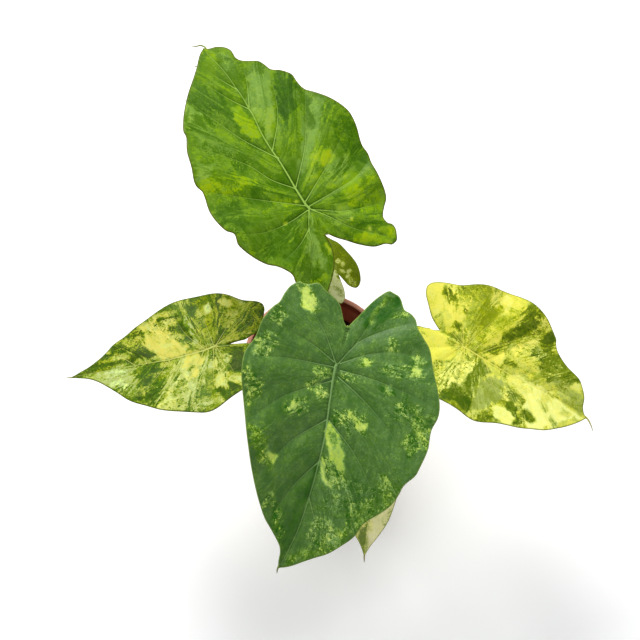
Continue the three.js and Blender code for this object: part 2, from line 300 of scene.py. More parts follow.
def grown(name, tree, source, **sizes):
    """The plain mesh piece that a geometry tree makes from a source mesh, with these sizes."""
    holder = bpy.data.objects.new(name + "_source", source)
    scene.collection.objects.link(holder)
    modifier = holder.modifiers.new(tree.name, "NODES")
    modifier.node_group = tree
    for item in tree.interface.items_tree:
        label = item.name.lower().replace(" ", "_")
        if item.item_type == "SOCKET" and item.in_out == "INPUT" and label in sizes:
            modifier[item.identifier] = sizes[label]
    depsgraph = bpy.context.evaluated_depsgraph_get()
    mesh = bpy.data.meshes.new_from_object(
        holder.evaluated_get(depsgraph), preserve_all_data_layers=True, depsgraph=depsgraph
    )
    holder.modifiers.remove(modifier)
    bpy.data.objects.remove(holder)
    mesh.name = name
    piece = bpy.data.objects.new(name, mesh)
    scene.collection.objects.link(piece)
    return piece


def add_values(mesh, kind, **values):
    """Stores numbers (FLOAT) or vectors (FLOAT_VECTOR) for each point of a mesh."""
    for label, numbers in values.items():
        layer = mesh.attributes.new(label, kind, "POINT")
        numbers = np.asarray(numbers, np.float32).ravel()
        layer.data.foreach_set("value" if kind == "FLOAT" else "vector", numbers)


def line_edges(lines, start=0):
    """Edges along lines of points, where the first point of all has number start."""
    edges = []
    for line in lines:
        edges += [(start + i, start + i + 1) for i in range(len(line) - 1)]
        start += len(line)
    return edges


def line_mesh(name, lines, **attributes):
    """A mesh of loose edges along lines of points in metres, with a value for each point."""
    mesh = bpy.data.meshes.new(name)
    mesh.from_pydata(np.vstack(lines).tolist(), line_edges(lines), [])
    add_values(mesh, "FLOAT", **{label: np.concatenate(v) for label, v in attributes.items()})
    return mesh


# Leaf outlines
# Flat leaves, in millimetres from the place where the stalk joins: u runs to the tip and v to
# the left of that. A half outline goes from the notch to the tip. The first vein is the midrib.
# A patch is (shape, tone, mottle, warmth). Its shape is an outline u, v, u, v, ... or, with five
# numbers, an ellipse: u, v, half length, half width, turn. Tone runs from the darkest green at 0
# to cream at 1, mottle says how broken up the patch is, and warmth how yellow.
# A fold is (u, v, heading of the crease, bend radius, degrees up): the strip between the crease
# and the midrib's line turns up by so much.
# at is the place of the stalk's top in the frame. heading, pitch, roll and fold, the rise of each
# half from the midrib, are in degrees. fall is the downward bend per millimetre, first of the tip
# and then of the lobes. wave is the margin's wave: height, count and phase. quilting is the depth
# of the creases at the veins, mesh the step between points, and threads are dry tips.
LEAVES = {}

# Front leaf: the newest, largest and highest
LEAVES["front"] = {
    "at": (12, -59, 255), "heading": -106.6, "pitch": 13, "roll": -4, "fold": 8,
    "fall": (0.003, 0.004), "wave": (1.2, 9, 0.4), "quilting": 2.8, "mesh": 1.1,
    "left": [
        (-24, -0.5), (-27, 1), (-33, 4.5), (-39, 7.5), (-46.5, 12.5), (-51.5, 18), (-51, 21), (-50, 24.5),
        (-48, 26.5), (-44.5, 28.5), (-42.5, 30), (-41, 34), (-38, 37.5), (-33, 40), (-28, 45), (-23, 50),
        (-11, 55.5), (1, 61.5), (8, 64), (13.5, 64.5), (21, 63), (31.5, 64), (41.5, 62.5), (47.5, 61),
        (52.5, 57.5), (55.5, 56), (60.5, 55), (67.5, 52.5), (73.5, 48.5), (83, 40.5), (91.5, 37.5),
        (99.5, 31.5), (106, 25.5), (110.5, 19.5), (115.5, 13), (119.5, 8.5), (122.5, 4.5), (125, 0),
    ],
    "right": [
        (-24, -0.5), (-26, -2.5), (-35.5, -8), (-38.5, -12.5), (-40.5, -18), (-43.5, -23.5),
        (-41.5, -28.5), (-41, -32), (-41.5, -34.5), (-37.5, -39), (-32.5, -41), (-25.5, -42.5),
        (-22, -45), (-16.5, -47.5), (-12.5, -49), (-2.5, -50), (6.5, -53), (11.5, -53), (19, -51.5),
        (25.5, -49.5), (37, -45), (49, -40), (60.5, -35), (72, -30), (82, -25), (91.5, -19.5),
        (97.5, -15.5), (104.5, -8.5), (111, -3), (115, -1.5), (120.5, -1), (125, 0),
    ],
    "threads": [[(122, 0.4), (126, -0.2), (128.5, 0.2)]],
    "veins": [
        [(-1, 0), (3, 0), (20, 2), (41, 5), (61, 6), (80, 6), (99, 5), (123, 1)],
        [(-2, 1), (-19, 9), (-34, 14), (-46, 20)], [(-12, 6), (-18, 10), (-27, 21), (-34, 33)],
        [(-2, 2), (-11, 16), (-16, 30), (-18, 45)], [(2, 3), (2, 21), (4, 39), (7, 56)],
        [(6, 3), (14, 19), (25, 36), (40, 54)], [(32, 5), (45, 23), (61, 38), (73, 45)],
        [(55, 6), (63, 12), (78, 20), (95, 26)], [(-2, -1), (-17, -12), (-25, -20), (-35, -32)],
        [(-2, -2), (-8, -17), (-13, -38)], [(1, 0), (4, -29), (8, -46)], [(9, 0), (26, -25), (40, -37)],
        [(32, 3), (49, -13), (72, -26)], [(56, 6), (75, -5), (95, -12)], [(78, 6), (93, 14), (107, 17)],
    ],
    "folds": [(-3, 1, 158, 7, -24)],
    "patches": [
        ((30, 0, 130, 90, 0), 0.20, 0.32, 0.15), ((42, -24, 60, 26, 0), 0.18, 0.26, 0.2),
        # Painted shade: a dark strip along the valley beside the midrib.
        ((122, 2, 100, 4, 80, 6, 62, 6, 62, 2, 80, 0, 100, -2, 116, -2), 0.08, 0.10, 0.3),
        ((124, 2, 118, 9, 108, 20, 100, 29, 91, 35, 88, 32, 95, 25, 103, 15, 112, 8), 0.37, 0.74, 0.7),
        ((107, 12, 104, 20, 97, 28, 89, 26, 86, 18, 91, 13, 99, 10), 0.36, 0.85, 0.4),
        ((92, 34, 80, 43, 70, 50, 58, 56, 51, 55, 56, 44, 64, 36, 74, 30, 84, 31), 0.31, 0.79, 0.6),
        ((80, 28, 71, 38, 60, 42, 59, 26, 64, 19, 72, 14, 80, 15), 0.24, 0.74, 0.3),
        ((61, 44, 57, 50, 54, 46, 57, 42), 0.52, 0.80, 0.6),
        ((31, 5, 37, 4.6, 45, 6.6, 50, 9, 55.5, 11, 55, 22, 50, 20, 44, 16, 38, 13, 34, 9),
         0.73, 0.22, 0.8),
        ((31, 5, 37, 4.6, 45, 6.6, 50, 9, 50, 11, 43, 9, 36, 7.5, 33, 7), 0.82, 0.3, 0.85),
        ((37, 7.5, 43, 9, 46, 12, 42, 12.5, 38, 10.5), 0.46, 0.5, 0.6),
        ((54, 7, 55, 21, 63, 24, 68, 19, 67, 13, 61, 6), 0.27, 0.9, 0.5),
        ((56, 5.6, 60, 6.6, 65, 11, 69.5, 17, 67, 18, 62.5, 12.5, 57.5, 8.5), 0.88, 0.25, 0.7),
        ((66, 17, 63, 24, 60, 22, 62, 17), 0.60, 0.60, 0.5),
        ((34, 9, 34.5, 18, 32.5, 28, 27, 28, 22.5, 20, 24, 9, 28, 7), 0.34, 1.00, 0.5),
        ((32, 21, 31.5, 27, 27.5, 27.5, 28, 22), 0.90, 0.30, 0.85),
        ((27, 19, 5, 1.6, 60), 0.70, 0.60, 0.8),
        ((21, -6, 16, -10, 8, -13, 1, -10, 2, -2, 12, 1, 21, -1), 0.33, 1.00, 0.6),
        ((8, 3, 8, 13, 3, 17, 1, 9, 3, 3), 0.33, 1.00, 0.5),
        ((-3, 11, -3, 19, -9, 21, -9, 13), 0.36, 1.00, 0.7), ((-6, 16.5, 2.6, 1.5, 60), 0.85, 0.40, 0.8),
        ((-1, 25, -2, 38, -10, 40, -10, 28), 0.29, 0.95, 0.5),
        ((-4, 42, -5, 53, -18, 50, -22, 42, -12, 40), 0.34, 0.95, 0.6),
        ((-8.5, 46.5, 2.4, 3.2, 0), 0.82, 0.50, 0.8),
        ((-17, 24, -18, 33, -24, 34, -25, 26), 0.34, 0.90, 0.5),
        ((40, 57, 30, 63, 15, 64, 13, 57, 24, 50, 36, 50), 0.31, 0.95, 0.6),
        ((25, 57, 4, 2, 60), 0.62, 0.70, 0.7), ((20, 38, 20, 52, 10, 56, 8, 42), 0.26, 0.95, 0.4),
        ((9, 28, 9, 37, 4, 37, 4, 28), 0.33, 0.95, 0.5),
        ((34, -13, 32, -19, 27, -21, 23, -11, 27, -8), 0.33, 1.00, 0.6),
        ((29, -17, 3.6, 1.6, 60), 0.66, 0.60, 0.7),
        ((64, -20, 61, -25, 57, -24, 58, -19), 0.80, 0.50, 0.95),
        ((66, -22, 60, -35, 46, -38, 44, -31, 54, -26), 0.28, 0.74, 0.9),
        ((84, -13, 83, -17, 80.5, -17, 81, -14), 0.75, 0.50, 0.7),
        ((114, -2, 104, -10, 92, -19, 85, -21, 87, -14, 95, -7, 104, -2), 0.31, 0.95, 0.6),
        ((37, -40, 34, -48, 18, -52, 12, -48, 20, -42, 29, -38), 0.33, 0.95, 0.7),
        ((8, -39, 8, -48, -1, -51, -8, -46, -8, -38, 0, -36), 0.30, 0.95, 0.5),
        ((-12, -37, -13, -47, -24, -43, -25, -36, -19, -33), 0.27, 0.95, 0.5),
        ((-27, -20.5, -33, -20, -40, -23, -43, -29, -39, -34, -31, -30), 0.44, 0.90, 0.7),
        ((-26, -21.5, -31, -22, -38, -25, -42, -29, -39, -31.5, -33, -29, -29, -25), 0.94, 0.4, 0.9),
        # Painted shadow: the lobe that curls down is painted near the darkest green.
        ((-25, 6, -40, 8, -48, 14, -50, 24, -42, 28, -34, 22, -28, 16), 0.02, 0.30, 0.5),
        ((-28, 12, -37, 13, -46, 17, -45, 18.5, -36, 15, -28, 14), 0.52, 0.80, 0.8),
        ((-36, 24, -42, 26, -44, 30, -38, 33), 0.42, 0.95, 0.8),
        ((-20, 0.5, 2.2, 0.8, 0), 0.60, 0.30, 0.4),
    ],
}

# Back leaf
LEAVES["back"] = {
    "at": (-4, 67, 216), "heading": 123, "pitch": -12, "roll": 6, "fold": 8,
    "fall": (0.001, 0.003), "wave": (2.2, 8, 2.2), "quilting": 2.6, "mesh": 1.15,
    "left": [
        (-21.5, 1), (-25.5, 1), (-30.5, 1), (-37, 3), (-42.5, 6), (-48, 10.5), (-52.5, 15.5),
        (-55.5, 19.5), (-56, 25), (-53, 33), (-45.5, 38), (-39.5, 38.5), (-35, 38), (-29, 41), (-25, 44),
        (-21, 48.5), (-10, 56), (-5, 58.5), (-1.5, 59.5), (5.5, 58), (9.5, 61.5), (15, 63), (22, 63.5),
        (28, 63), (37, 60.5), (41, 60), (45, 61.5), (48.5, 61.5), (58, 58), (69, 54.5), (80, 48.5),
        (84, 48), (91, 44), (98, 39), (108.5, 30), (116.5, 21.5), (125, 12.5), (133, 5), (136.5, 0),
    ],
    "right": [
        (-21.5, 1), (-25, -2.5), (-31.5, -9.5), (-38.5, -16), (-45, -24), (-47, -31), (-49.5, -34.5),
        (-48.5, -38.5), (-45, -40.5), (-41, -42), (-37.5, -41.5), (-35.5, -39.5), (-31.5, -39),
        (-29, -40.5), (-25, -44.5), (-21, -48.5), (-17, -50), (-6, -51), (4, -52.5), (12.5, -55),
        (19.5, -55), (33, -58.5), (42.5, -59), (48.5, -57.5), (60, -53), (68, -48.5), (76, -43.5),
        (82.5, -42.5), (88, -42.5), (91, -41), (95.5, -37), (99, -32), (104.5, -29.5), (108, -27.5),
        (111.5, -21.5), (114.5, -17), (117.5, -15), (124.5, -15), (128.5, -13), (132.5, -8), (134, -3.5),
        (136.5, 0),
    ],
    "threads": [[(133, -0.6), (137, -1.6), (139.6, 0.6), (140.4, 4), (142, 8.4)],
                [(125.5, 11.2), (127.4, 13), (128.8, 12.6)]],
    "veins": [
        [(-1, 0), (4, 1), (38, 0), (58, 0), (81, -3), (114, -3), (133, 0)],
        [(81, -3), (95, 6), (116, 16)], [(41, 0), (63, 14), (81, 22), (108, 33)],
        [(16, 1), (29, 13), (44, 21), (65, 41), (72, 49)], [(2, 1), (16, 23), (39, 57)],
        [(-1, 2), (-3, 19), (-2, 38), (3, 53)], [(47, 0), (67, -17), (100, -31)],
        [(17, 0), (40, -22), (74, -44)], [(5, 0), (12, -13), (20, -28), (34, -50)],
        [(1, -1), (1, -18), (2, -37), (6, -50)], [(-2, -1), (-14, -19), (-21, -42)],
        [(-1, 0), (-12, -8), (-26, -17), (-42, -33)], [(83, -4), (99, -12), (110, -16)],
        [(-1, 1), (-13, 9), (-24, 13), (-49, 32)], [(-13, 9), (-20, 22), (-24, 36)],
        [(99, -3), (111, 3), (122, 8)],
    ],
    "folds": [(-2, 1, 147, 8, -14)],
    "patches": [
        ((50, 0, 100, 70, 0), 0.34, 0.34, 0.75),
        ((136, 0, 128, 9, 116, 12, 112, 5, 118, 0, 128, -4), 0.50, 0.35, 1.0),
        ((126, 9, 112, 22, 106, 30, 104, 20, 114, 10), 0.32, 0.3, 1.0),
        # Painted highlight: a pale grey-green patch between the margin and the vein, where light catches
        # the leaf.
        ((104, 29, 98, 38, 84, 48, 82, 40, 92, 31, 99, 26), 0.54, 0.4, 0.3),
        ((46, 14, 66, 24, 96, 34, 84, 46, 66, 44, 50, 28), 0.27, 0.4, 0.35),
        ((42, 3, 60, 14, 80, 26, 108, 34, 110, 14, 100, 6, 84, 12, 60, 5), 0.19, 0.4, 0.5),
        ((85, 0.5, 86, 11, 73, 14, 62, 10, 57, 3, 62, 0), 0.60, 0.3, 1.0),
        ((110, 2, 100, 9, 92, 7, 84, 0, 100, -2), 0.40, 0.4, 0.9),
        ((48, -1, 80, -3.5, 86, -5, 84, -16, 70, -14, 58, -6), 0.64, 0.25, 0.45),
        ((84, -5, 100, -13, 107, -22, 99, -30, 84, -24, 70, -15), 0.52, 0.3, 0.05),
        ((104, -16, 108, -24, 100, -31, 96, -27), 0.34, 0.4, 0.0),
        ((128, -5, 124, -13, 114, -14, 108, -8, 114, -4), 0.44, 0.5, 0.2),
        ((124, -9, 119, -12, 120, -7), 0.2, 0.4, 0.2),
        ((50, -4, 70, -19, 97, -33, 90, -41, 78, -42, 66, -31, 56, -18), 0.10, 0.3, 0.9),
        ((80, -34, 76, -43, 66, -46, 62, -38, 70, -33), 0.22, 0.3, 0.0),
        ((58, -5, 64, -13, 58, -17, 50, -8), 0.36, 0.5, 0.7),
        ((24, -4, 42, -18, 62, -38, 68, -47, 60, -52, 46, -37, 30, -19, 20, -8), 0.50, 0.3, 0.1),
        ((44, -24, 58, -30, 62, -38, 52, -38), 0.26, 0.4, 0.1),
        ((60, -51, 46, -59, 30, -58, 12, -55, 6, -50, 12, -44, 26, -40, 42, -42, 54, -44),
         0.18, 0.35, 1.0),
        ((54, -46, 48, -58, 40, -57, 44, -44), 0.40, 0.5, 1.0),
        ((31, -21, 29, -33, 22, -34, 19, -25, 23, -17), 0.64, 0.5, 0.9),
        ((14, -4, 24, -16, 30, -18, 16, -16), 0.50, 0.6, 0.6),
        ((20, -24, 18, -40, 8, -40, 12, -22), 0.30, 0.5, 0.15),
        ((8, -10, 14, -24, 6, -34, 3, -20), 0.46, 0.6, 0.6),
        ((3, -24, 5, -50, -8, -52, -22, -48, -27, -41, -20, -32, -8, -24), 0.42, 0.4, 1.0),
        ((-2, -25, -3, -36, -14, -36, -15, -27), 0.60, 0.45, 1.0),
        ((4, -42, 3, -50, -6, -51, -6, -43), 0.58, 0.45, 1.0),
        ((-14, -34, -22, -40, -24, -34, -18, -28), 0.36, 0.6, 0.9),
        ((-30, -17, -37, -30, -46, -36, -49, -34, -42, -24, -36, -13), 0.70, 0.35, 1.0),
        ((-35, -31, -37, -41, -46, -40, -45, -35), 0.66, 0.4, 1.0),
        ((-26, -20, -34, -34, -30, -40, -24, -30), 0.22, 0.5, 0.8),
        ((-6, -3, -10, -22, -22, -20, -20, -8), 0.44, 0.5, 0.5),
        ((-22, -6, -30, -14, -36, -13, -28, -4), 0.3, 0.4, 0.8),
        ((47, 62, 38, 62, 35, 52, 31, 40, 25, 30, 28, 22, 38, 28, 44, 40, 48, 52), 0.50, 0.6, 1.0),
        ((44, 62, 40, 60, 39, 48, 43, 50), 0.64, 0.4, 0.9),
        ((34, 24, 38, 36, 33, 36, 29, 26), 0.62, 0.5, 1.0),
        ((62, 56, 48, 61, 46, 52, 56, 46), 0.54, 0.4, 0.35),
        ((60, 26, 46, 40, 42, 30, 52, 18), 0.22, 0.45, 0.6),
        ((26, 40, 26, 62, 6, 60, 4, 44), 0.20, 0.45, 0.5),
        ((24, 6, 34, 22, 22, 36, 10, 24, 12, 8), 0.26, 0.5, 0.8),
        ((10, 4, 12, 16, 4, 16, 2, 5), 0.46, 0.6, 1.0),
        ((0, 8, -2, 40, -18, 46, -16, 20, -8, 10), 0.24, 0.45, 0.6),
        ((-20, 20, -22, 36, -36, 36, -34, 24), 0.28, 0.5, 0.7),
        ((-12, 16, -14, 30, -20, 28, -18, 14), 0.34, 0.6, 0.9),
        # Partly painted light: the folded strip between the basal vein and the notch, which faces the lamp,
        # is painted paler.
        ((-1, 2, -12, 7, -24, 9, -40, 9, -48, 15, -44, 24, -33, 22, -22, 16, -12, 11), 0.60, 0.35, 0.25),
        ((-36, 16, -42, 28, -52, 26, -50, 15), 0.42, 0.7, 0.95),
        ((-27, 2, -27, 5, -35, 4, -33, 2), 0.76, 0.6, 0.9), ((8, 6, 1.2, 2, 0), 0.98, 0.2, 0.9),
        ((-2.6, 22, 1.0, 1.6, 0), 0.95, 0.2, 0.9), ((-21, -20, 1.5, 1.0, 0), 0.98, 0.2, 0.8),
        ((-33, -27, 1.8, 1.1, 0), 0.95, 0.2, 0.8),
    ],
}

# Left leaf
LEAVES["left"] = {
    "at": (-69, -15, 172), "heading": -171.3, "pitch": 8, "roll": 14, "fold": 5,
    "fall": (0.0012, 0.003), "wave": (1.4, 7, 1.1), "quilting": 1.7, "mesh": 0.95,
    "left": [
        (-8, 0.5), (-15, 1), (-21, 1.5), (-26, 3), (-29.5, 7.5), (-31.5, 16.5), (-28, 29), (-22, 38.5),
        (-15.5, 43.5), (-8, 48), (-0.5, 52), (6, 53.5), (15, 52), (30, 48.5), (37.5, 45.5), (49, 38),
        (60.5, 30.5), (70, 21.5), (80, 12.5), (87.5, 7), (93.5, 4), (99, 2), (103, 0),
    ],
    "right": [
        (-8, 0.5), (-15, -0.5), (-21, -1), (-25, -3), (-29.5, -5), (-34, -12.5), (-36.5, -21.5),
        (-35.5, -25.5), (-31.5, -29), (-21.5, -33), (-12.5, -37.5), (0, -41), (11, -42.5), (19.5, -42),
        (27.5, -40), (37, -36), (46.5, -32), (56.5, -28), (64.5, -23), (73, -18), (78, -13), (88, -5.5),
        (97.5, -2), (103, 0),
    ],
    "threads": [[(99, 0.2), (104, 0), (107, -1)]],
    "veins": [
        [(-1, 0), (7, 2), (32, 4), (53, 3), (75, 2), (100, 0)], [(1, -1), (5, -17), (11, -36)],
        [(8, 0), (20, -14), (28, -32)], [(33, 3), (46, -7), (60, -20)],
        [(-1, -1), (-10, -14), (-18, -29)], [(-2, -1), (-22, -11), (-31, -18)],
        [(8, 3), (14, 17), (23, 30), (30, 42)], [(32, 5), (42, 18), (52, 29)], [(1, 2), (2, 30), (5, 46)],
        [(-1, 2), (-10, 20), (-15, 36)], [(-2, 1), (-18, 5), (-27, 14)], [(56, 3), (66, 11), (76, 14)],
        [(57, 2), (69, -8), (80, -10)],
    ],
    "folds": [(-2, 1, 160, 8, -16)],
    "patches": [
        ((30, 0, 90, 60, 0), 0.42, 0.55, 0.6), ((26, 6, 26, 46, 12, 54, -2, 52, -2, 4), 0.53, 0.6, 0.4),
        ((6, 18, 6, 50, 0, 52, -1, 20), 0.47, 0.4, 0.5), ((12, 30, 14, 50, 8, 52, 6, 32), 0.46, 0.5, 0.2),
        ((98, 1, 84, 9, 72, 19, 58, 30, 54, 24, 53, 8, 56, 3, 76, 2.5), 0.43, 0.5, 0.1),
        ((78, 3, 66, 3, 58, 6, 62, 9, 72, 8), 0.52, 0.6, 0.1),
        ((73, 12, 71, 18, 64, 24, 60, 20, 64, 13), 0.57, 0.8, 0.2),
        ((57, 9, 55, 22, 46, 23, 40, 10, 36, 5, 44, 4, 52, 5), 0.15, 0.5, 0.4),
        ((48, 25, 47, 37, 41, 38, 35, 32, 36, 22), 0.24, 0.7, 0.3),
        ((56, 25, 56, 32, 50, 33, 50, 27), 0.30, 0.8, 0.6),
        ((41, 34, 38, 45, 27, 47, 25, 37, 31, 29), 0.74, 0.7, 0.6),
        ((36, 10, 34, 28, 26, 30, 24, 14), 0.56, 0.6, 0.5),
        ((22, 2, 23, 11, 17, 20, 12, 20, 5, 7, 8, 1), 0.86, 0.3, 0.9),
        ((26, 28, 20, 20, 12, 9, 11, 11, 18, 23, 25, 32), 0.30, 0.6, 0.5),
        ((24, 15, 20, 24, 16, 22, 19, 14), 0.74, 0.5, 0.6),
        ((101, 0, 86, -7, 76, -15, 66, -23, 55, -29, 50, -24, 52, -14, 46, -6, 42, -1, 60, 1.6, 82, 2),
         0.17, 0.65, 0.75),
        ((66, -12, 66, -22, 54, -29, 51, -22, 54, -13), 0.36, 0.8, 0.9),
        ((74, -3, 72, -9, 58, -10, 60, -4), 0.28, 0.7, 0.5),
        ((60, -1, 58, -9, 50, -11, 43, -4, 44, -1), 0.06, 0.45, 0.9),
        ((88, -3, 76, -14, 68, -20, 70, -15, 80, -6), 0.06, 0.3, 0.8),
        ((41, 1, 47, -8, 51.5, -14, 50, -27, 44, -32, 34, -33, 29, -22, 24, -12, 18, -4, 22, 3, 34, 3),
         0.86, 0.35, 1.0),
        ((46, -21, 47, -31, 34, -33, 29, -27, 34, -21), 0.64, 0.8, 0.85),
        ((34, -14, 33, -30, 24, -28, 22, -14), 0.50, 0.85, 0.85),
        ((34, -8, 33, -13, 29.5, -14, 30, -9), 0.62, 0.5, 0.8), ((38, -29, 3, 1.6, 20), 0.22, 0.5, 0.8),
        ((26, -6, 26, -30, 18, -40, 8, -40, 8, -8, 16, -4), 0.36, 0.6, 0.7),
        ((25, -20, 20, -28, 14, -16, 12, -6, 17, -8), 0.12, 0.4, 0.7),
        ((18, -28, 17, -36, 12, -34, 13, -26), 0.18, 0.5, 0.6),
        ((13, -5, 16, -14, 21, -26, 19, -29, 13, -17, 10, -7), 0.52, 0.5, 0.1),
        ((7, -4, 8, -30, 16, -41, 2, -41, 2, -14), 0.33, 0.4, 0.8),
        ((6, -26, 6, -33, 1, -34, 1, -27), 0.60, 0.7, 0.4),
        ((2, -1, 0, -40, -14, -38, -26, -32, -36, -24, -30, -6, -12, -2), 0.30, 0.55, 0.8),
        ((-8, -12, -10, -30, -20, -28, -18, -14), 0.46, 0.6, 0.7),
        ((-5, -33, -8, -36.5, -13, -35.5, -15.5, -32.5, -12, -30.5, -7, -30.5), 0.86, 0.4, 0.8),
        ((-22, -8, -24, -20, -34, -26, -34, -14), 0.18, 0.5, 0.8),
        ((1, 2, -2, 40, -10, 38, -14, 4), 0.46, 0.7, 0.6),
        ((-1, 37, -3, 48, -18, 48, -18, 38, -8, 35), 0.12, 0.3, 0.8),
        ((1, 27, -2, 37, -9, 36, -18, 38, -20, 30, -8, 28), 0.80, 0.5, 0.7),
        ((-11, 27, -12, 10, -2, 3.5, -22, 3, -24, 28), 0.10, 0.3, 0.9),
        ((-6, 8, -6, 22, -10, 22, -9, 8), 0.56, 0.7, 0.5), ((3, 0, 4, 3, 0), 0.70, 0.5, 0.7),
    ],
}

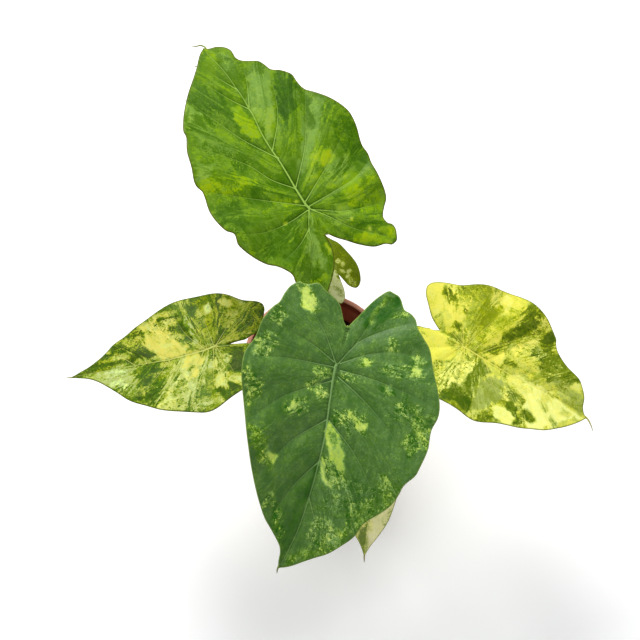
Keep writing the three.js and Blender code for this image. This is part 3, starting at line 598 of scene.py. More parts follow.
# Right leaf
LEAVES["right"] = {
    "at": (100, -17, 174), "heading": -30, "pitch": 4, "roll": -4, "fold": 9,
    "fall": (0.001, 0.003), "wave": (2.0, 8, 0.0), "quilting": 1.7, "mesh": 0.95,
    "left": [
        (-20, 3.5), (-23.5, 5.5), (-29, 9), (-35, 15), (-39.5, 20), (-41, 23), (-41.5, 25.5), (-40, 29),
        (-31, 35.5), (-20.5, 39.5), (-10.5, 44.5), (-3, 47.5), (10, 50.5), (18, 51.5), (26, 51), (33, 49),
        (40.5, 46), (49, 40.5), (52, 38), (53.5, 35), (56, 31.5), (61.5, 27), (67.5, 23.5), (77.5, 20),
        (81.5, 16.5), (86, 11), (88.5, 5), (91, 2), (94, 0),
    ],
    "right": [
        (-20, 3.5), (-24.5, 0.5), (-29, -2), (-33.5, -3.5), (-39, -8), (-40.5, -17), (-37, -27),
        (-27.5, -36.5), (-16, -43), (-6.5, -45), (3.5, -46), (16, -46), (28, -46), (41.5, -40),
        (55.5, -35), (64, -30), (72, -25), (78.5, -19), (84.5, -13), (91, -5), (94, 0),
    ],
    "threads": [[(90, 0.6), (94.5, 0.2), (98.5, -2.4), (102, -6)]],
    "veins": [
        [(-1, 0), (4, 0), (33, -1), (61, 1), (91, 1)], [(-1, 1), (-7, 14), (-10, 31), (-9, 40)],
        [(1, 1), (7, 21), (15, 42)], [(10, 0), (24, 18), (43, 38)], [(18, 0), (30, 17), (40, 26)],
        [(39, 0), (52, 12), (60, 22)], [(-1, 1), (-17, 8), (-33, 21)], [(1, 0), (6, -19), (9, -38)],
        [(16, 0), (29, -15), (47, -30)], [(42, 0), (52, -8), (63, -21)], [(-1, 0), (-11, -7), (-27, -19)],
        [(-1, -1), (-8, -18), (-13, -33)], [(62, 1), (70, 8), (78, 13)], [(64, 1), (74, -7), (82, -9)],
    ],
    "folds": [(-1, 1, 150, 8, -12)],
    "patches": [
        ((30, 0, 90, 60, 0), 0.58, 0.55, 0.7),
        ((94, -0.5, 86, -9, 76, -19, 66, -28, 58, -32, 56, -22, 46, -10, 34, -2, 34, 0, 60, -0.5),
         0.94, 0.18, 0.3),
        ((85, -3, 84, -8, 77, -7, 78, -3), 0.62, 0.5, 0.4),
        ((79, -14, 77, -20, 71, -15, 72, -12), 0.46, 0.6, 0.2),
        ((68, -2, 66, -12, 60, -10, 61, -2), 0.82, 0.3, 0.6), ((66, -10, 3, 2, 0), 0.6, 0.5, 0.4),
        ((52, -2, 50, -8, 34, -9, 34, -2), 0.84, 0.4, 0.6),
        ((60, -16, 62, -21, 60, -26, 55, -27, 52, -21, 54, -15), 0.14, 0.7, 0.3),
        ((58, -29, 54, -36, 48, -35, 51, -28), 0.24, 0.8, 0.2),
        ((50, -16, 52, -23, 47, -29, 41, -27, 36, -20, 37, -12, 43, -11), 0.16, 0.75, 0.15),
        ((52, -20, 47, -21, 46, -13, 49, -13), 0.5, 0.6, 0.5),
        ((40, -8, 40, -20, 31, -24, 30, -10), 0.44, 0.65, 0.5),
        ((49, -28, 48, -36, 40, -37, 33, -30, 38, -25), 0.92, 0.25, 0.35),
        ((41, -35, 38, -45, 30, -46, 31, -36), 0.14, 0.5, 0.4),
        ((47, -37, 44, -42, 40, -42, 42, -37), 0.5, 0.7, 0.4),
        ((31, -8, 33, -22, 31, -38, 28, -46, 21, -45, 22, -28, 25, -12, 26, -4), 0.47, 0.22, 0.0),
        ((30, -38, 28, -46, 21, -45, 22, -38), 0.72, 0.4, 0.4),
        ((24, -1, 23, -18, 21, -34, 20, -46, 2, -46, 2, -34, 9, -22, 12, -3), 0.22, 0.55, 0.05),
        ((21, -31, 20, -46, 4, -46, 6, -32), 0.06, 0.6, 0.0),
        ((17, -18, 16, -30, 12, -32, 12, -18), 0.16, 0.5, 0.1),
        ((12, -6, 13, -28, 8, -30, 7, -8), 0.66, 0.8, 0.5),
        ((7, -2, 8, -28, 2, -40, -6, -34, -2, -12), 0.50, 0.9, 0.5),
        ((3, -1, 2, -12, -3, -14, -1, -2), 0.74, 0.5, 0.7),
        ((-2, -2, -4, -14, -12, -24, -20, -20, -33, -6, -28, 0, -14, -1), 0.84, 0.16, 1.0),
        ((-5, -16, -6, -30, -14, -28, -11, -20), 0.36, 0.8, 0.6),
        ((-4, -0.8, -12, -2, -12, -4, -4, -3), 0.30, 0.5, 0.6),
        ((91, 1, 88, 7, 83, 13, 70, 13, 66, 7, 66, 2, 80, 1), 0.44, 0.3, 0.3),
        ((84, 12, 80, 19, 72, 20, 72, 13), 0.84, 0.35, 0.6),
        ((78, 3, 78, 6, 68, 6, 68, 3), 0.62, 0.3, 0.3),
        ((77, 10, 74, 21, 62, 27, 55, 30, 50, 22, 52, 8, 64, 4), 0.27, 0.65, 0.35),
        ((72, 12, 70, 18, 66, 18, 67, 12), 0.2, 0.7, 0.2),
        ((54, 28, 51, 39, 44, 41, 41, 32, 46, 26), 0.06, 0.6, 0.7),
        ((52, 17, 52, 26, 43, 27, 44, 18), 0.20, 0.75, 0.2),
        ((64, 1, 62, 6, 46, 12, 34, 3, 30, 1), 0.66, 0.35, 0.7),
        ((52, 12, 48, 20, 38, 14, 40, 6), 0.70, 0.5, 0.8), ((39, 4, 38, 8, 29, 9, 28, 4), 0.20, 0.6, 0.6),
        ((48, 3, 44, 5, 42, 4, 46, 2), 0.36, 0.5, 0.4),
        ((40, 51, 38, 38, 33, 28, 27, 18, 18, 4, 15, 3, 18, 18, 22, 32, 21, 50, 28, 52),
         0.22, 0.75, 0.75),
        ((44, 42, 41, 49, 35, 48, 37, 38), 0.62, 0.7, 0.8),
        ((42, 26, 40, 38, 35, 36, 37, 26), 0.60, 0.9, 0.7),
        ((36, 12, 40, 24, 34, 26, 30, 14), 0.56, 0.9, 0.9),
        ((30, 8, 27, 3, 14, 2, 20, 8, 27, 14), 0.80, 0.6, 0.9),
        ((24, 10, 20, 6, 15, 4, 19, 12, 23, 20), 0.14, 0.5, 0.8),
        ((33, 40, 29, 50, 23, 50, 25, 40), 0.10, 0.5, 0.7),
        ((24, 50, 22, 36, 19, 20, 11, 3, 7, 8, 8, 26, 6, 50), 0.70, 0.45, 1.0),
        ((20, 22, 19, 36, 12, 34, 13, 20), 0.56, 0.4, 1.0),
        ((12, 36, 14, 46, 8, 47, 7, 38), 0.92, 0.3, 0.9),
        ((9, 6, 9, 36, 0, 48, -3, 20, 1, 6), 0.44, 0.4, 0.9),
        ((7, 34, 7, 47, 1, 47, 2, 36), 0.66, 0.6, 0.7),
        ((0, 12, -1, 46, -10, 44, -9, 20, -6, 12), 0.42, 0.4, 0.7),
        ((-8, 18, -10, 45, -24, 38, -28, 32, -20, 22), 0.40, 0.7, 0.85),
        ((-20, 34, -26, 38, -30, 34, -24, 30), 0.6, 0.8, 0.8),
        ((-8, 6, -8, 19, -19, 25, -26, 22, -20, 9, -13, 4), 0.86, 0.3, 1.0),
        ((-8, 8, -8, 13, -13, 13, -13, 8), 0.20, 0.7, 0.7),
        ((-25, 12, -28, 8, -36, 14, -42, 24, -40, 30, -31, 36, -25, 24), 0.90, 0.2, 1.0),
        ((-22, 24, -24, 31, -30, 32, -29, 26), 0.30, 0.85, 0.8),
        ((-2, 3, -9, 1, -14, 2, -12, 4, -4, 6), 0.36, 0.6, 0.4),
        ((-16, 14, -22, 18, -24, 14, -18, 11), 0.74, 0.4, 0.8),
    ],
}

# Small leaf at the back
LEAVES["small_back"] = {
    "at": (11, 70, 124), "heading": 117, "pitch": 8, "roll": 0, "fold": 36,
    "fall": (0.004, 0.006), "wave": (0.7, 5, 0.5), "quilting": 0.9, "mesh": 0.75,
    "left": [
        (-12, 0), (-19, 1.5), (-26, 3), (-33, 7), (-36, 13), (-31, 18), (-20, 19), (-6, 18), (9, 15),
        (22, 9), (33, 3), (40, 0),
    ],
    "right": [
        (-12, 0), (-18, -1.5), (-24, -3), (-29, -8), (-27, -13), (-18, -17), (-5, -17), (8, -14),
        (21, -9), (33, -3), (40, 0),
    ],
    "threads": [[(37, 0), (40.5, 0.2), (43, 1)]],
    "veins": [
        [(-1, 0), (12, 0.5), (26, 0), (38, 0)], [(-1, 1), (-16, 6), (-30, 11)],
        [(0, 1), (-5, 9), (-10, 16)], [(5, 0), (12, 7), (16, 10)], [(-1, -1), (-14, -5), (-25, -9)],
        [(0, -1), (-5, -8), (-9, -15)], [(5, 0), (11, -6), (15, -10)], [(17, 0), (23, 5), (27, 6)],
    ],
    "folds": [],
    "patches": [
        ((0, -12, 60, 14, 0), 0.24, 0.30, 1.0), ((0, 14, 60, 13, 0), 0.80, 0.30, 0.2),
        ((-24, -7, 4, 3, 0), 0.46, 0.7, 1.0), ((-12, -5, 3, 1.4, 30), 0.74, 0.6, 0.8),
        ((-15, -9, 1.6, 2.4, 20), 0.78, 0.6, 0.8), ((-18, -6, 1.4, 2.2, 0), 0.76, 0.6, 0.8),
        ((-7, -8, 1.6, 2.2, 60), 0.70, 0.6, 0.8), ((-3, -6, 2, 2.4, 0), 0.60, 0.8, 0.9),
        ((-26, 9, 5, 3, 10), 0.55, 0.6, 0.0), ((-20, 15, 5, 3, 0), 0.66, 0.5, 0.4),
        ((15, 0, 14, 6, 0), 0.42, 0.7, 0.6),
    ],
}

# Small leaf at the front
LEAVES["small_front"] = {
    "at": (38, -96, 118), "heading": -95, "pitch": 24, "roll": 0, "fold": 32,
    "fall": (0.004, 0.006), "wave": (0.8, 5, 1.5), "quilting": 0.9, "mesh": 0.8,
    "left": [
        (-11, 0), (-18, 3), (-24, 9), (-24, 16), (-16, 22), (-3, 24), (12, 21), (26, 17), (37, 11),
        (47, 4.5), (56, 0),
    ],
    "right": [
        (-11, 0), (-18, -3), (-25, -9), (-24, -16), (-15, -21), (-2, -23), (13, -20), (27, -17),
        (37, -11), (47, -4), (56, 0),
    ],
    "threads": [[(53, 0), (57, 0.2), (60.5, 0.6)]],
    "veins": [
        [(-1, 0), (15, 0.5), (35, 0.5), (54, 0)], [(-1, 1), (-11, 8), (-20, 15)],
        [(0, 1), (0, 11), (2, 20)], [(8, 0.5), (18, 10), (25, 15)], [(24, 0.5), (33, 7), (39, 8)],
        [(-1, -1), (-11, -8), (-20, -14)], [(0, -1), (0, -11), (2, -19)], [(8, 0), (18, -9), (26, -15)],
        [(24, 0), (33, -6), (40, -8)],
    ],
    "folds": [],
    "patches": [
        ((20, 10, 60, 14, 0), 0.74, 0.45, 0.3), ((20, -12, 60, 13, 0), 0.40, 0.60, 0.8),
        ((36, 5, 9, 3, 10), 0.86, 0.3, 0.3), ((42, -3, 8, 3, -5), 0.20, 0.35, 0.6),
        ((33, 3, 5, 3, 0), 0.62, 0.6, 0.7), ((30, -5, 5, 3, 0), 0.50, 0.7, 1.0),
        ((22, 16, 8, 3, -20), 0.55, 0.5, 0.3), ((46, 1, 5, 1.5, 0), 0.45, 0.4, 0.4),
        ((5, 8, 9, 7, 0), 0.58, 0.7, 0.4), ((5, -9, 9, 7, 0), 0.30, 0.7, 0.7),
    ],
}


# Lines and distances
def smooth_line(points, step):
    """Points about a step apart along a smooth line through the given ones."""
    p = np.array(points, float)
    p = np.vstack([2 * p[0] - p[1], p, 2 * p[-1] - p[-2]])
    t = np.linspace(0, 1, 24, endpoint=False)[:, None]
    fine = []
    for a, b, c, d in zip(p, p[1:], p[2:], p[3:]):
        ab, bc, cd = (np.linalg.norm(y - x) ** 0.5 for x, y in ((a, b), (b, c), (c, d)))
        leave = ((b - a) / ab - (c - a) / (ab + bc) + (c - b) / bc) * bc
        reach = ((c - b) / bc - (d - b) / (bc + cd) + (d - c) / cd) * bc
        fine.append(
            (2 * t**3 - 3 * t**2 + 1) * b + (t**3 - 2 * t**2 + t) * leave
            + (3 * t**2 - 2 * t**3) * c + (t**3 - t**2) * reach
        )
    fine = np.vstack(fine + [p[-2:-1]])
    run = np.concatenate([[0], np.cumsum(np.linalg.norm(np.diff(fine, axis=0), axis=1))])
    where = np.linspace(0, run[-1], max(3, round(run[-1] / step) + 1))
    return np.stack([np.interp(where, run, fine[:, k]) for k in range(fine.shape[1])], axis=1)


def headings(line):
    """The unit direction of a flat line at each of its points."""
    turn = np.gradient(line, axis=0)
    return turn / np.linalg.norm(turn, axis=1, keepdims=True)


def closed(outline):
    return np.vstack([outline, outline[:1]])


# So many points are measured at once, to spare memory.
BATCH = 2000


def nearest_on(points, line):
    """For each flat point: its distance from a line, the share of the line run there, its side."""
    a, along = line[:-1], np.diff(line, axis=0)
    length = np.linalg.norm(along, axis=1)
    start = np.concatenate([[0], np.cumsum(length)])[:-1]
    gap, share, side = (np.empty(len(points)) for _ in range(3))
    for low in range(0, len(points), BATCH):
        some = slice(low, low + BATCH)
        here = points[some, None] - a
        t = ((here * along).sum(2) / length**2).clip(0, 1)
        off = here - t[..., None] * along
        far = np.hypot(off[..., 0], off[..., 1])
        best = far.argmin(1)
        row = np.arange(len(best))
        cross = along[best, 0] * here[row, best, 1] - along[best, 1] * here[row, best, 0]
        gap[some] = far[row, best]
        share[some] = (start[best] + t[row, best] * length[best]) / length.sum()
        side[some] = np.sign(cross)
    return gap, share, side


def inside(points, outline):
    """Which flat points lie inside a closed outline."""
    a, b = outline, np.roll(outline, -1, axis=0)
    found = np.zeros(len(points), bool)
    for low in range(0, len(points), BATCH):
        some = slice(low, low + BATCH)
        u, v = points[some, 0, None], points[some, 1, None]
        crosses = (a[:, 1] > v) != (b[:, 1] > v)
        reach = (b[:, 0] - a[:, 0]) * (v - a[:, 1]) / np.where(crosses, b[:, 1] - a[:, 1], 1) + a[:, 0]
        found[some] = (crosses & (u < reach)).sum(1) % 2 == 1
    return found


def eased(value, low, high):
    """0 below low, 1 above high, and a smooth step between them."""
    t = np.clip((value - low) / (high - low), 0, 1)
    return t * t * (3 - 2 * t)


def wobble(points, scale, seed):
    """Two smooth random numbers for each flat point, about -1 to 1."""
    return np.array(
        [noise.noise_vector(Vector((u / scale, v / scale, seed)))[:2] for u, v in points]
    )


def near_tree(points):
    """A tree that finds the nearest of some flat points."""
    tree = kdtree.KDTree(len(points))
    for i, p in enumerate(points):
        tree.insert((p[0], p[1], 0), i)
    tree.balance()
    return tree


# Flat leaf
# Steps between points along the margin, a rib and a dry thread, in millimetres.
MARGIN_STEP, RIB_STEP, THREAD_STEP = 0.9, 1.6, 0.8
# Rows of points on both sides of a vein, in steps of the leaf's net.
BESIDE_VEIN = (-1.15, -0.55, 0.55, 1.15)
# The net elsewhere is of even triangles: its rows lie closer than its points, and all points are
# shaken a little so that no rows show.
ROW_SHARE, NET_SHAKE = 0.87, 0.12
# A fold opens over this length from the start of its crease.
FOLD_START = 14
# The pattern counts this many millimetres from one side vein to the next.
VEIN_SPACING = 14
# The painted veins, first the midrib and then the side veins: half width at the stalk and at the
# tip in millimetres, and how clearly each shows at these ends.
VEIN_WIDTHS = ((0.78, 0.24), (0.4, 0.16))
VEIN_SHOWS = ((1.0, 0.65), (0.95, 0.28))
# The raised ribs under them, in the same order: radius at the stalk and at the tip.
RIB_SIZES = ((1.5, 0.3), (0.85, 0.18))
# How a patch's edge is shaken: size of the swirls in millimetres, their height, step of the seed.
SWIRLS = ((17.0, 3.4, 9), (6.5, 2.6, 0), (2.6, 1.2, 3))
# Patches break up in rows along the side veins: width of a row, how far one is pushed, and how
# far the rows themselves wander.
ROW_WIDTH, ROW_PUSH, ROW_WANDER = 1.5, 3.2, 1.2
# Tone, mottle and warmth where a leaf has no patch, and the size from which one is fully shaken.
BARE_LEAF = (0.35, 0.3, 0.5)
WHOLE_SHAKE_SIZE = 15


def leaf_net(leaf, outline, veins):
    """The points of a flat leaf and its triangles, with rows that follow margin and veins."""
    step = leaf["mesh"]
    clear = 0.5 * step
    rows = []
    for line in veins:
        turn = headings(line)
        across = np.stack([-turn[:, 1], turn[:, 0]], axis=1)
        rows += [(line, True)]
        rows += [(line + across * k * step, False) for k in BESIDE_VEIN]
    low, high = outline.min(0), outline.max(0)
    grid = np.stack(np.meshgrid(
        np.arange(low[0], high[0], step * ROW_SHARE), np.arange(low[1], high[1], step),
        indexing="ij",
    ), axis=-1)
    grid[1::2, :, 1] += step / 2
    grid = grid.reshape(-1, 2)
    grid += wobble(grid, 2.3, 7.0) * NET_SHAKE * step
    margin = near_tree(outline)
    fixed = [tuple(p) for p in outline]
    edges = [(i, (i + 1) % len(outline)) for i in range(len(outline))]
    for row, is_vein in rows:
        last = None
        for p, within in zip(row, inside(row, outline)):
            if not within or margin.find((p[0], p[1], 0))[2] <= clear:
                last = None
                continue
            fixed.append(tuple(p))
            if is_vein:
                if last is not None:
                    edges.append((last, len(fixed) - 1))
                last = len(fixed) - 1
    taken = near_tree(fixed)
    grid = grid[inside(grid, outline)]
    kept = [tuple(p) for p in grid if taken.find((p[0], p[1], 0))[2] > clear]
    points, _, faces, *_ = delaunay_2d_cdt([Vector(p) for p in fixed + kept], edges, [], 0, 1e-4, False)
    points = np.array([tuple(p) for p in points])
    faces = np.array([f for f in faces if len(f) == 3])
    faces = faces[inside(points[faces].mean(1), outline)]
    used, faces = np.unique(faces, return_inverse=True)
    return points[used], faces.reshape(-1, 3)


def folded_flat(leaf, points):
    """Flat points with the leaf's creased strips turned up: (u, v, lift)."""
    placed = np.column_stack([points, np.zeros(len(points))])
    for u, v, heading, radius, degrees in leaf["folds"]:
        along = np.array([math.cos(math.radians(heading)), math.sin(math.radians(heading))])
        left = np.array([-along[1], along[0]])
        from_crease = points - (u, v)
        beyond = np.maximum(from_crease @ left, 0) * eased(from_crease @ along, 0, FOLD_START)
        beyond *= np.sign(points[:, 1]) == math.copysign(1, along[1])
        angle = math.radians(abs(degrees))
        turned = np.minimum(beyond / radius, angle)
        rest = np.maximum(beyond - radius * angle, 0)
        reach = radius * np.sin(turned) + rest * math.cos(angle)
        lift = radius * (1 - np.cos(turned)) + rest * math.sin(angle)
        placed[:, :2] += (reach - beyond)[:, None] * left
        placed[:, 2] += lift * math.copysign(1, degrees)
    return placed


def vein_run(points, veins):
    """Coordinates that run with the veins: away from the midrib, from vein to vein, the half."""
    away, _, side = nearest_on(points, veins[0])
    across = np.zeros(len(points))
    for half in (1, -1):
        near = []
        for line in veins[1:]:
            end = line[-1]
            end_side = nearest_on(end[None], veins[0])[2][0] if end[0] > 0 else np.sign(end[1])
            if end_side == half:
                near.append((math.atan2(abs(end[1]), end[0]), line))
        near.sort(key=lambda item: item[0])
        mine = side == half
        weights = [1 / (nearest_on(points[mine], line)[0] ** 2 + 0.5) ** 1.5 for _, line in near]
        ranked = sum(weight * (rank + 1) for rank, weight in enumerate(weights))
        across[mine] = ranked / sum(weights) * VEIN_SPACING * half
    return np.column_stack([away, across, side])


def vein_heading(points, veins):
    """The way the side veins run at each point, outward from the midrib."""
    heading = np.zeros((len(points), 2))
    for line in veins[1:]:
        far, share, _ = nearest_on(points, line)
        near = headings(line)[np.round(share * (len(line) - 1)).astype(int)]
        heading += near / (far[:, None] ** 2 + 2) ** 1.5
    return heading / np.maximum(np.linalg.norm(heading, axis=1, keepdims=True), 1e-9)


def patch_outline(shape):
    """The corners of a patch, which may be given as an ellipse."""
    if len(shape) != 5:
        return np.array(shape, float).reshape(-1, 2)
    u, v, long, wide, turn = shape
    c, s = math.cos(math.radians(turn)), math.sin(math.radians(turn))
    around = np.linspace(0, 2 * np.pi, 24, endpoint=False)
    a, b = long * np.cos(around), wide * np.sin(around)
    return np.stack([u + a * c - b * s, v + a * s + b * c], axis=1)


def row_push(points, run, seed):
    """A random number, -1 to 1, for the row along the side veins in which each point lies.

    It is what follows the decimal point of a sine times a large number.
    """
    rows = np.floor(run[:, 1] / ROW_WIDTH + wobble(points, 16.0, seed + 5)[:, 0] * ROW_WANDER)
    push = np.sin(rows * 12.9898 + run[:, 2] * 4.1 + seed) * 43758.5453
    return (push - np.floor(push)) * 2 - 1


def painted_leaf(leaf, points, run, heading, seed):
    """Tone, mottle and warmth of each flat point, from the leaf's patches in their order.

    The patches break up along the side veins: row by row they are pushed out or drawn in.
    """
    push = row_push(points, run, seed)
    large, middle, small = (wobble(points, size, seed + k) * height for size, height, k in SWIRLS)
    shift = large + middle
    shift += small + heading * push[:, None] * ROW_PUSH
    values = np.tile(BARE_LEAF, (len(points), 1))
    for shape, *aim in leaf["patches"]:
        edge = patch_outline(shape)
        size = np.ptp(edge, axis=0)
        shaken = points + shift * min(1.0, math.sqrt(size[0] * size[1]) / WHOLE_SHAKE_SIZE)
        gap = nearest_on(shaken, closed(edge))[0]
        gap = np.where(inside(shaken, edge), gap, -gap)
        soft = min(0.45 + aim[1] * 1.1, size.min() * 0.3)
        values += (np.array(aim) - values) * eased(gap, -soft, soft)[:, None]
    return values


def vein_fields(points, veins, size):
    """For each point: gap to the nearest vein, its width, how it shows, and the crease's depth."""
    gap, width, show = np.full(len(points), 1e3), np.ones(len(points)), np.ones(len(points))
    crease = np.zeros(len(points))
    for rank, line in enumerate(veins):
        far, share, _ = nearest_on(points, line)
        (wide, thin), (strong, weak) = VEIN_WIDTHS[rank > 0], VEIN_SHOWS[rank > 0]
        here = (wide + (thin - wide) * share**0.6) * size
        closer = far / here < gap / width
        gap, width = np.where(closer, far, gap), np.where(closer, here, width)
        show = np.where(closer, strong + (weak - strong) * eased(share, 0.0, 0.95), show)
        depth = (1.0 - 0.55 * share) * (1.0 if rank == 0 else 0.85)
        valley = 0.45 * np.exp(-far / 2.2) + 0.55 * np.exp(-((far / (8.5 * size)) ** 2))
        crease += (depth * valley) ** 4
    return gap.clip(0, 40), width, show, crease**0.25


def leaf_size(leaf):
    """How thick this leaf's veins are beside those of a leaf 125 mm long."""
    return (leaf["left"][-1][0] / 125) ** 0.5


def leaf_rods(leaf):
    """The lines of the ribs and of the dry threads, with each point's radius and dryness."""
    rods, radii, dryness = [], [], []
    for rank, line in enumerate(leaf["veins"]):
        rods.append(smooth_line(line, RIB_STEP))
        thick, thin = RIB_SIZES[rank > 0]
        share = np.linspace(0, 1, len(rods[-1]))
        radii.append((thick + (thin - thick) * share**0.6) * leaf_size(leaf))
        dryness.append(share * 0)
    for rank, line in enumerate(leaf["threads"]):
        rods.append(smooth_line(line, THREAD_STEP))
        share = np.linspace(0, 1, len(rods[-1]))
        radii.append((0.75 if rank == 0 else 0.4) * (1.02 - share) ** 0.5)
        dryness.append(0.25 + 0.75 * share)
    return rods, radii, dryness


def share_of_reach(points, outline):
    """How far out each point lies: 0 at the stalk, 1 at the margin."""
    angles = np.arctan2(outline[:, 1], outline[:, 0])
    order = np.argsort(angles)
    reach = np.interp(
        np.arctan2(points[:, 1], points[:, 0]), angles[order],
        np.hypot(*outline[order].T), period=2 * math.pi,
    )
    return np.clip(np.hypot(*points.T) / reach, 0, 1)


def flat_leaf(name, leaf):
    """The flat leaf as a mesh, with its ribs as loose lines and all that its finish reads."""
    left, right = (smooth_line(leaf[half], MARGIN_STEP) for half in ("left", "right"))
    outline = np.vstack([left, right[-2:0:-1]])
    veins = [smooth_line(line, leaf["mesh"]) for line in leaf["veins"]]
    sheet, faces = leaf_net(leaf, outline, veins)
    rods, radii, dryness = leaf_rods(leaf)
    points = np.vstack([sheet] + rods)
    gap, width, show, crease = vein_fields(points, veins, leaf_size(leaf))
    seed = 11.3 * (list(LEAVES).index(name) + 1)
    run, heading = vein_run(points, veins), vein_heading(points, veins)
    tone, mottle, warmth = painted_leaf(leaf, points, run, heading, seed).T

    mesh = bpy.data.meshes.new(name)
    mesh.from_pydata(
        (folded_flat(leaf, points) * MM).tolist(), line_edges(rods, len(sheet)), faces.tolist())
    add_values(
        mesh, "FLOAT", share=share_of_reach(points, outline), vein_gap=gap, vein_width=width,
        vein_show=show, crease=crease, edge_gap=nearest_on(points, closed(outline))[0], tone=tone,
        mottle=mottle, warmth=warmth, rib=np.concatenate([np.zeros(len(sheet))] + radii),
        dry=np.concatenate([np.zeros(len(sheet))] + dryness),
    )
    add_values(
        mesh, "FLOAT_VECTOR",
        leaf_place=np.column_stack([points, np.full(len(points), seed)]), leaf_run=run,
    )
    return mesh


# Leaf blades in space
def leaf_blade_tree():
    """Bends a flat leaf to its place, gives it thickness and grows the ribs under it."""
    tree, net, given, end = new_geometry(
        "leaf_blade", ("At", VECTOR, None), ("Along", VECTOR, None), ("Left", VECTOR, None),
        ("Up", VECTOR, None), ("Fold", FLOAT, 0.14), ("Tip Fall", FLOAT, 3.0),
        ("Lobe Fall", FLOAT, 4.0), ("Midrib Rounding", FLOAT, 0.006),
        ("Wave Height", FLOAT, 0.001), ("Wave Count", FLOAT, 8.0), ("Wave Phase", FLOAT, 0.0),
        ("Quilting", FLOAT, 0.0009), ("Thickness", FLOAT, 0.0005),
    )
    u, v, lift = net.apart(net.position())
    behind = u < 0.0
    bend = given["Tip Fall"] + behind * (given["Lobe Fall"] - given["Tip Fall"])
    turn = bend * u
    rounding = given["Midrib Rounding"]
    spread = (v * v + rounding * rounding).root() - rounding
    wave = given["Wave Count"] * v.arctan2(u) + given["Wave Phase"]
    ripple = given["Wave Height"] * net.named("share") ** 2.4 * wave.sin()
    crease = given["Quilting"] * net.named("crease")
    height = given["Fold"].sin() * spread + ripple + lift - crease
    forward = turn.sin() / bend + height * turn.sin()
    raised = height * turn.cos() - (1.0 - turn.cos()) / bend
    place = given["At"]
    for axis, amount in ("Along", forward), ("Left", v * given["Fold"].cos()), ("Up", raised):
        place = net.vector("ADD", place, net.scaled(given[axis], amount))
    formed = net.moved(given["Geometry"], Position=place)

    is_rib = net.named("rib") > 0.01
    sheet = net.out(
        "GeometryNodeDeleteGeometry", {"Geometry": formed, "Selection": is_rib}, domain="POINT"
    )
    normal = net.normal()
    lower = net.moved(sheet, Offset=net.scaled(normal, given["Thickness"] * -0.5))
    upper = net.out(
        "GeometryNodeExtrudeMesh",
        {"Mesh": lower, "Offset Scale": given["Thickness"], "Individual": False}, mode="FACES",
    )
    lower = net.stored(net.out("GeometryNodeFlipFaces", {"Mesh": lower}), "underside", 1.0)

    surface_normal = net.out(
        "GeometryNodeSampleNearestSurface",
        {"Mesh": sheet, "Value": normal, "Sample Position": net.position()},
        data_type="FLOAT_VECTOR",
    )
    rib_size = net.named("rib") * MM
    sunk = 0.0 - given["Thickness"] * 0.5 - rib_size * 0.3
    line = net.moved(net.line_of(formed, Selection=is_rib), Offset=net.scaled(surface_normal, sunk))
    ribs = net.stored(net.tube(line, 8, rib_size), "underside", 2.0)
    whole = net.real(net.one(ribs, net.welded(net.one(lower, upper))))
    net.finish(end, net.shaded(whole, True), given["Material"])
    return tree


def leaf_axes(leaf):
    """The three directions of a leaf at its stalk: to the tip, to the left, and up."""
    heading, pitch, roll = (math.radians(leaf[k]) for k in ("heading", "pitch", "roll"))
    along = Vector((
        math.cos(heading) * math.cos(pitch), math.sin(heading) * math.cos(pitch), -math.sin(pitch),
    ))
    level = Vector((-math.sin(heading), math.cos(heading), 0))
    normal = along.cross(level)
    left = level * math.cos(roll) + normal * math.sin(roll)
    up = normal * math.cos(roll) - level * math.sin(roll)
    return along, left, up


# Leaf finishes
def named_value(net, label, pick="Fac"):
    """A value that the mesh holds for each point, as a finish reads it."""
    return net.out("ShaderNodeAttribute", pick=pick, attribute_name=label)


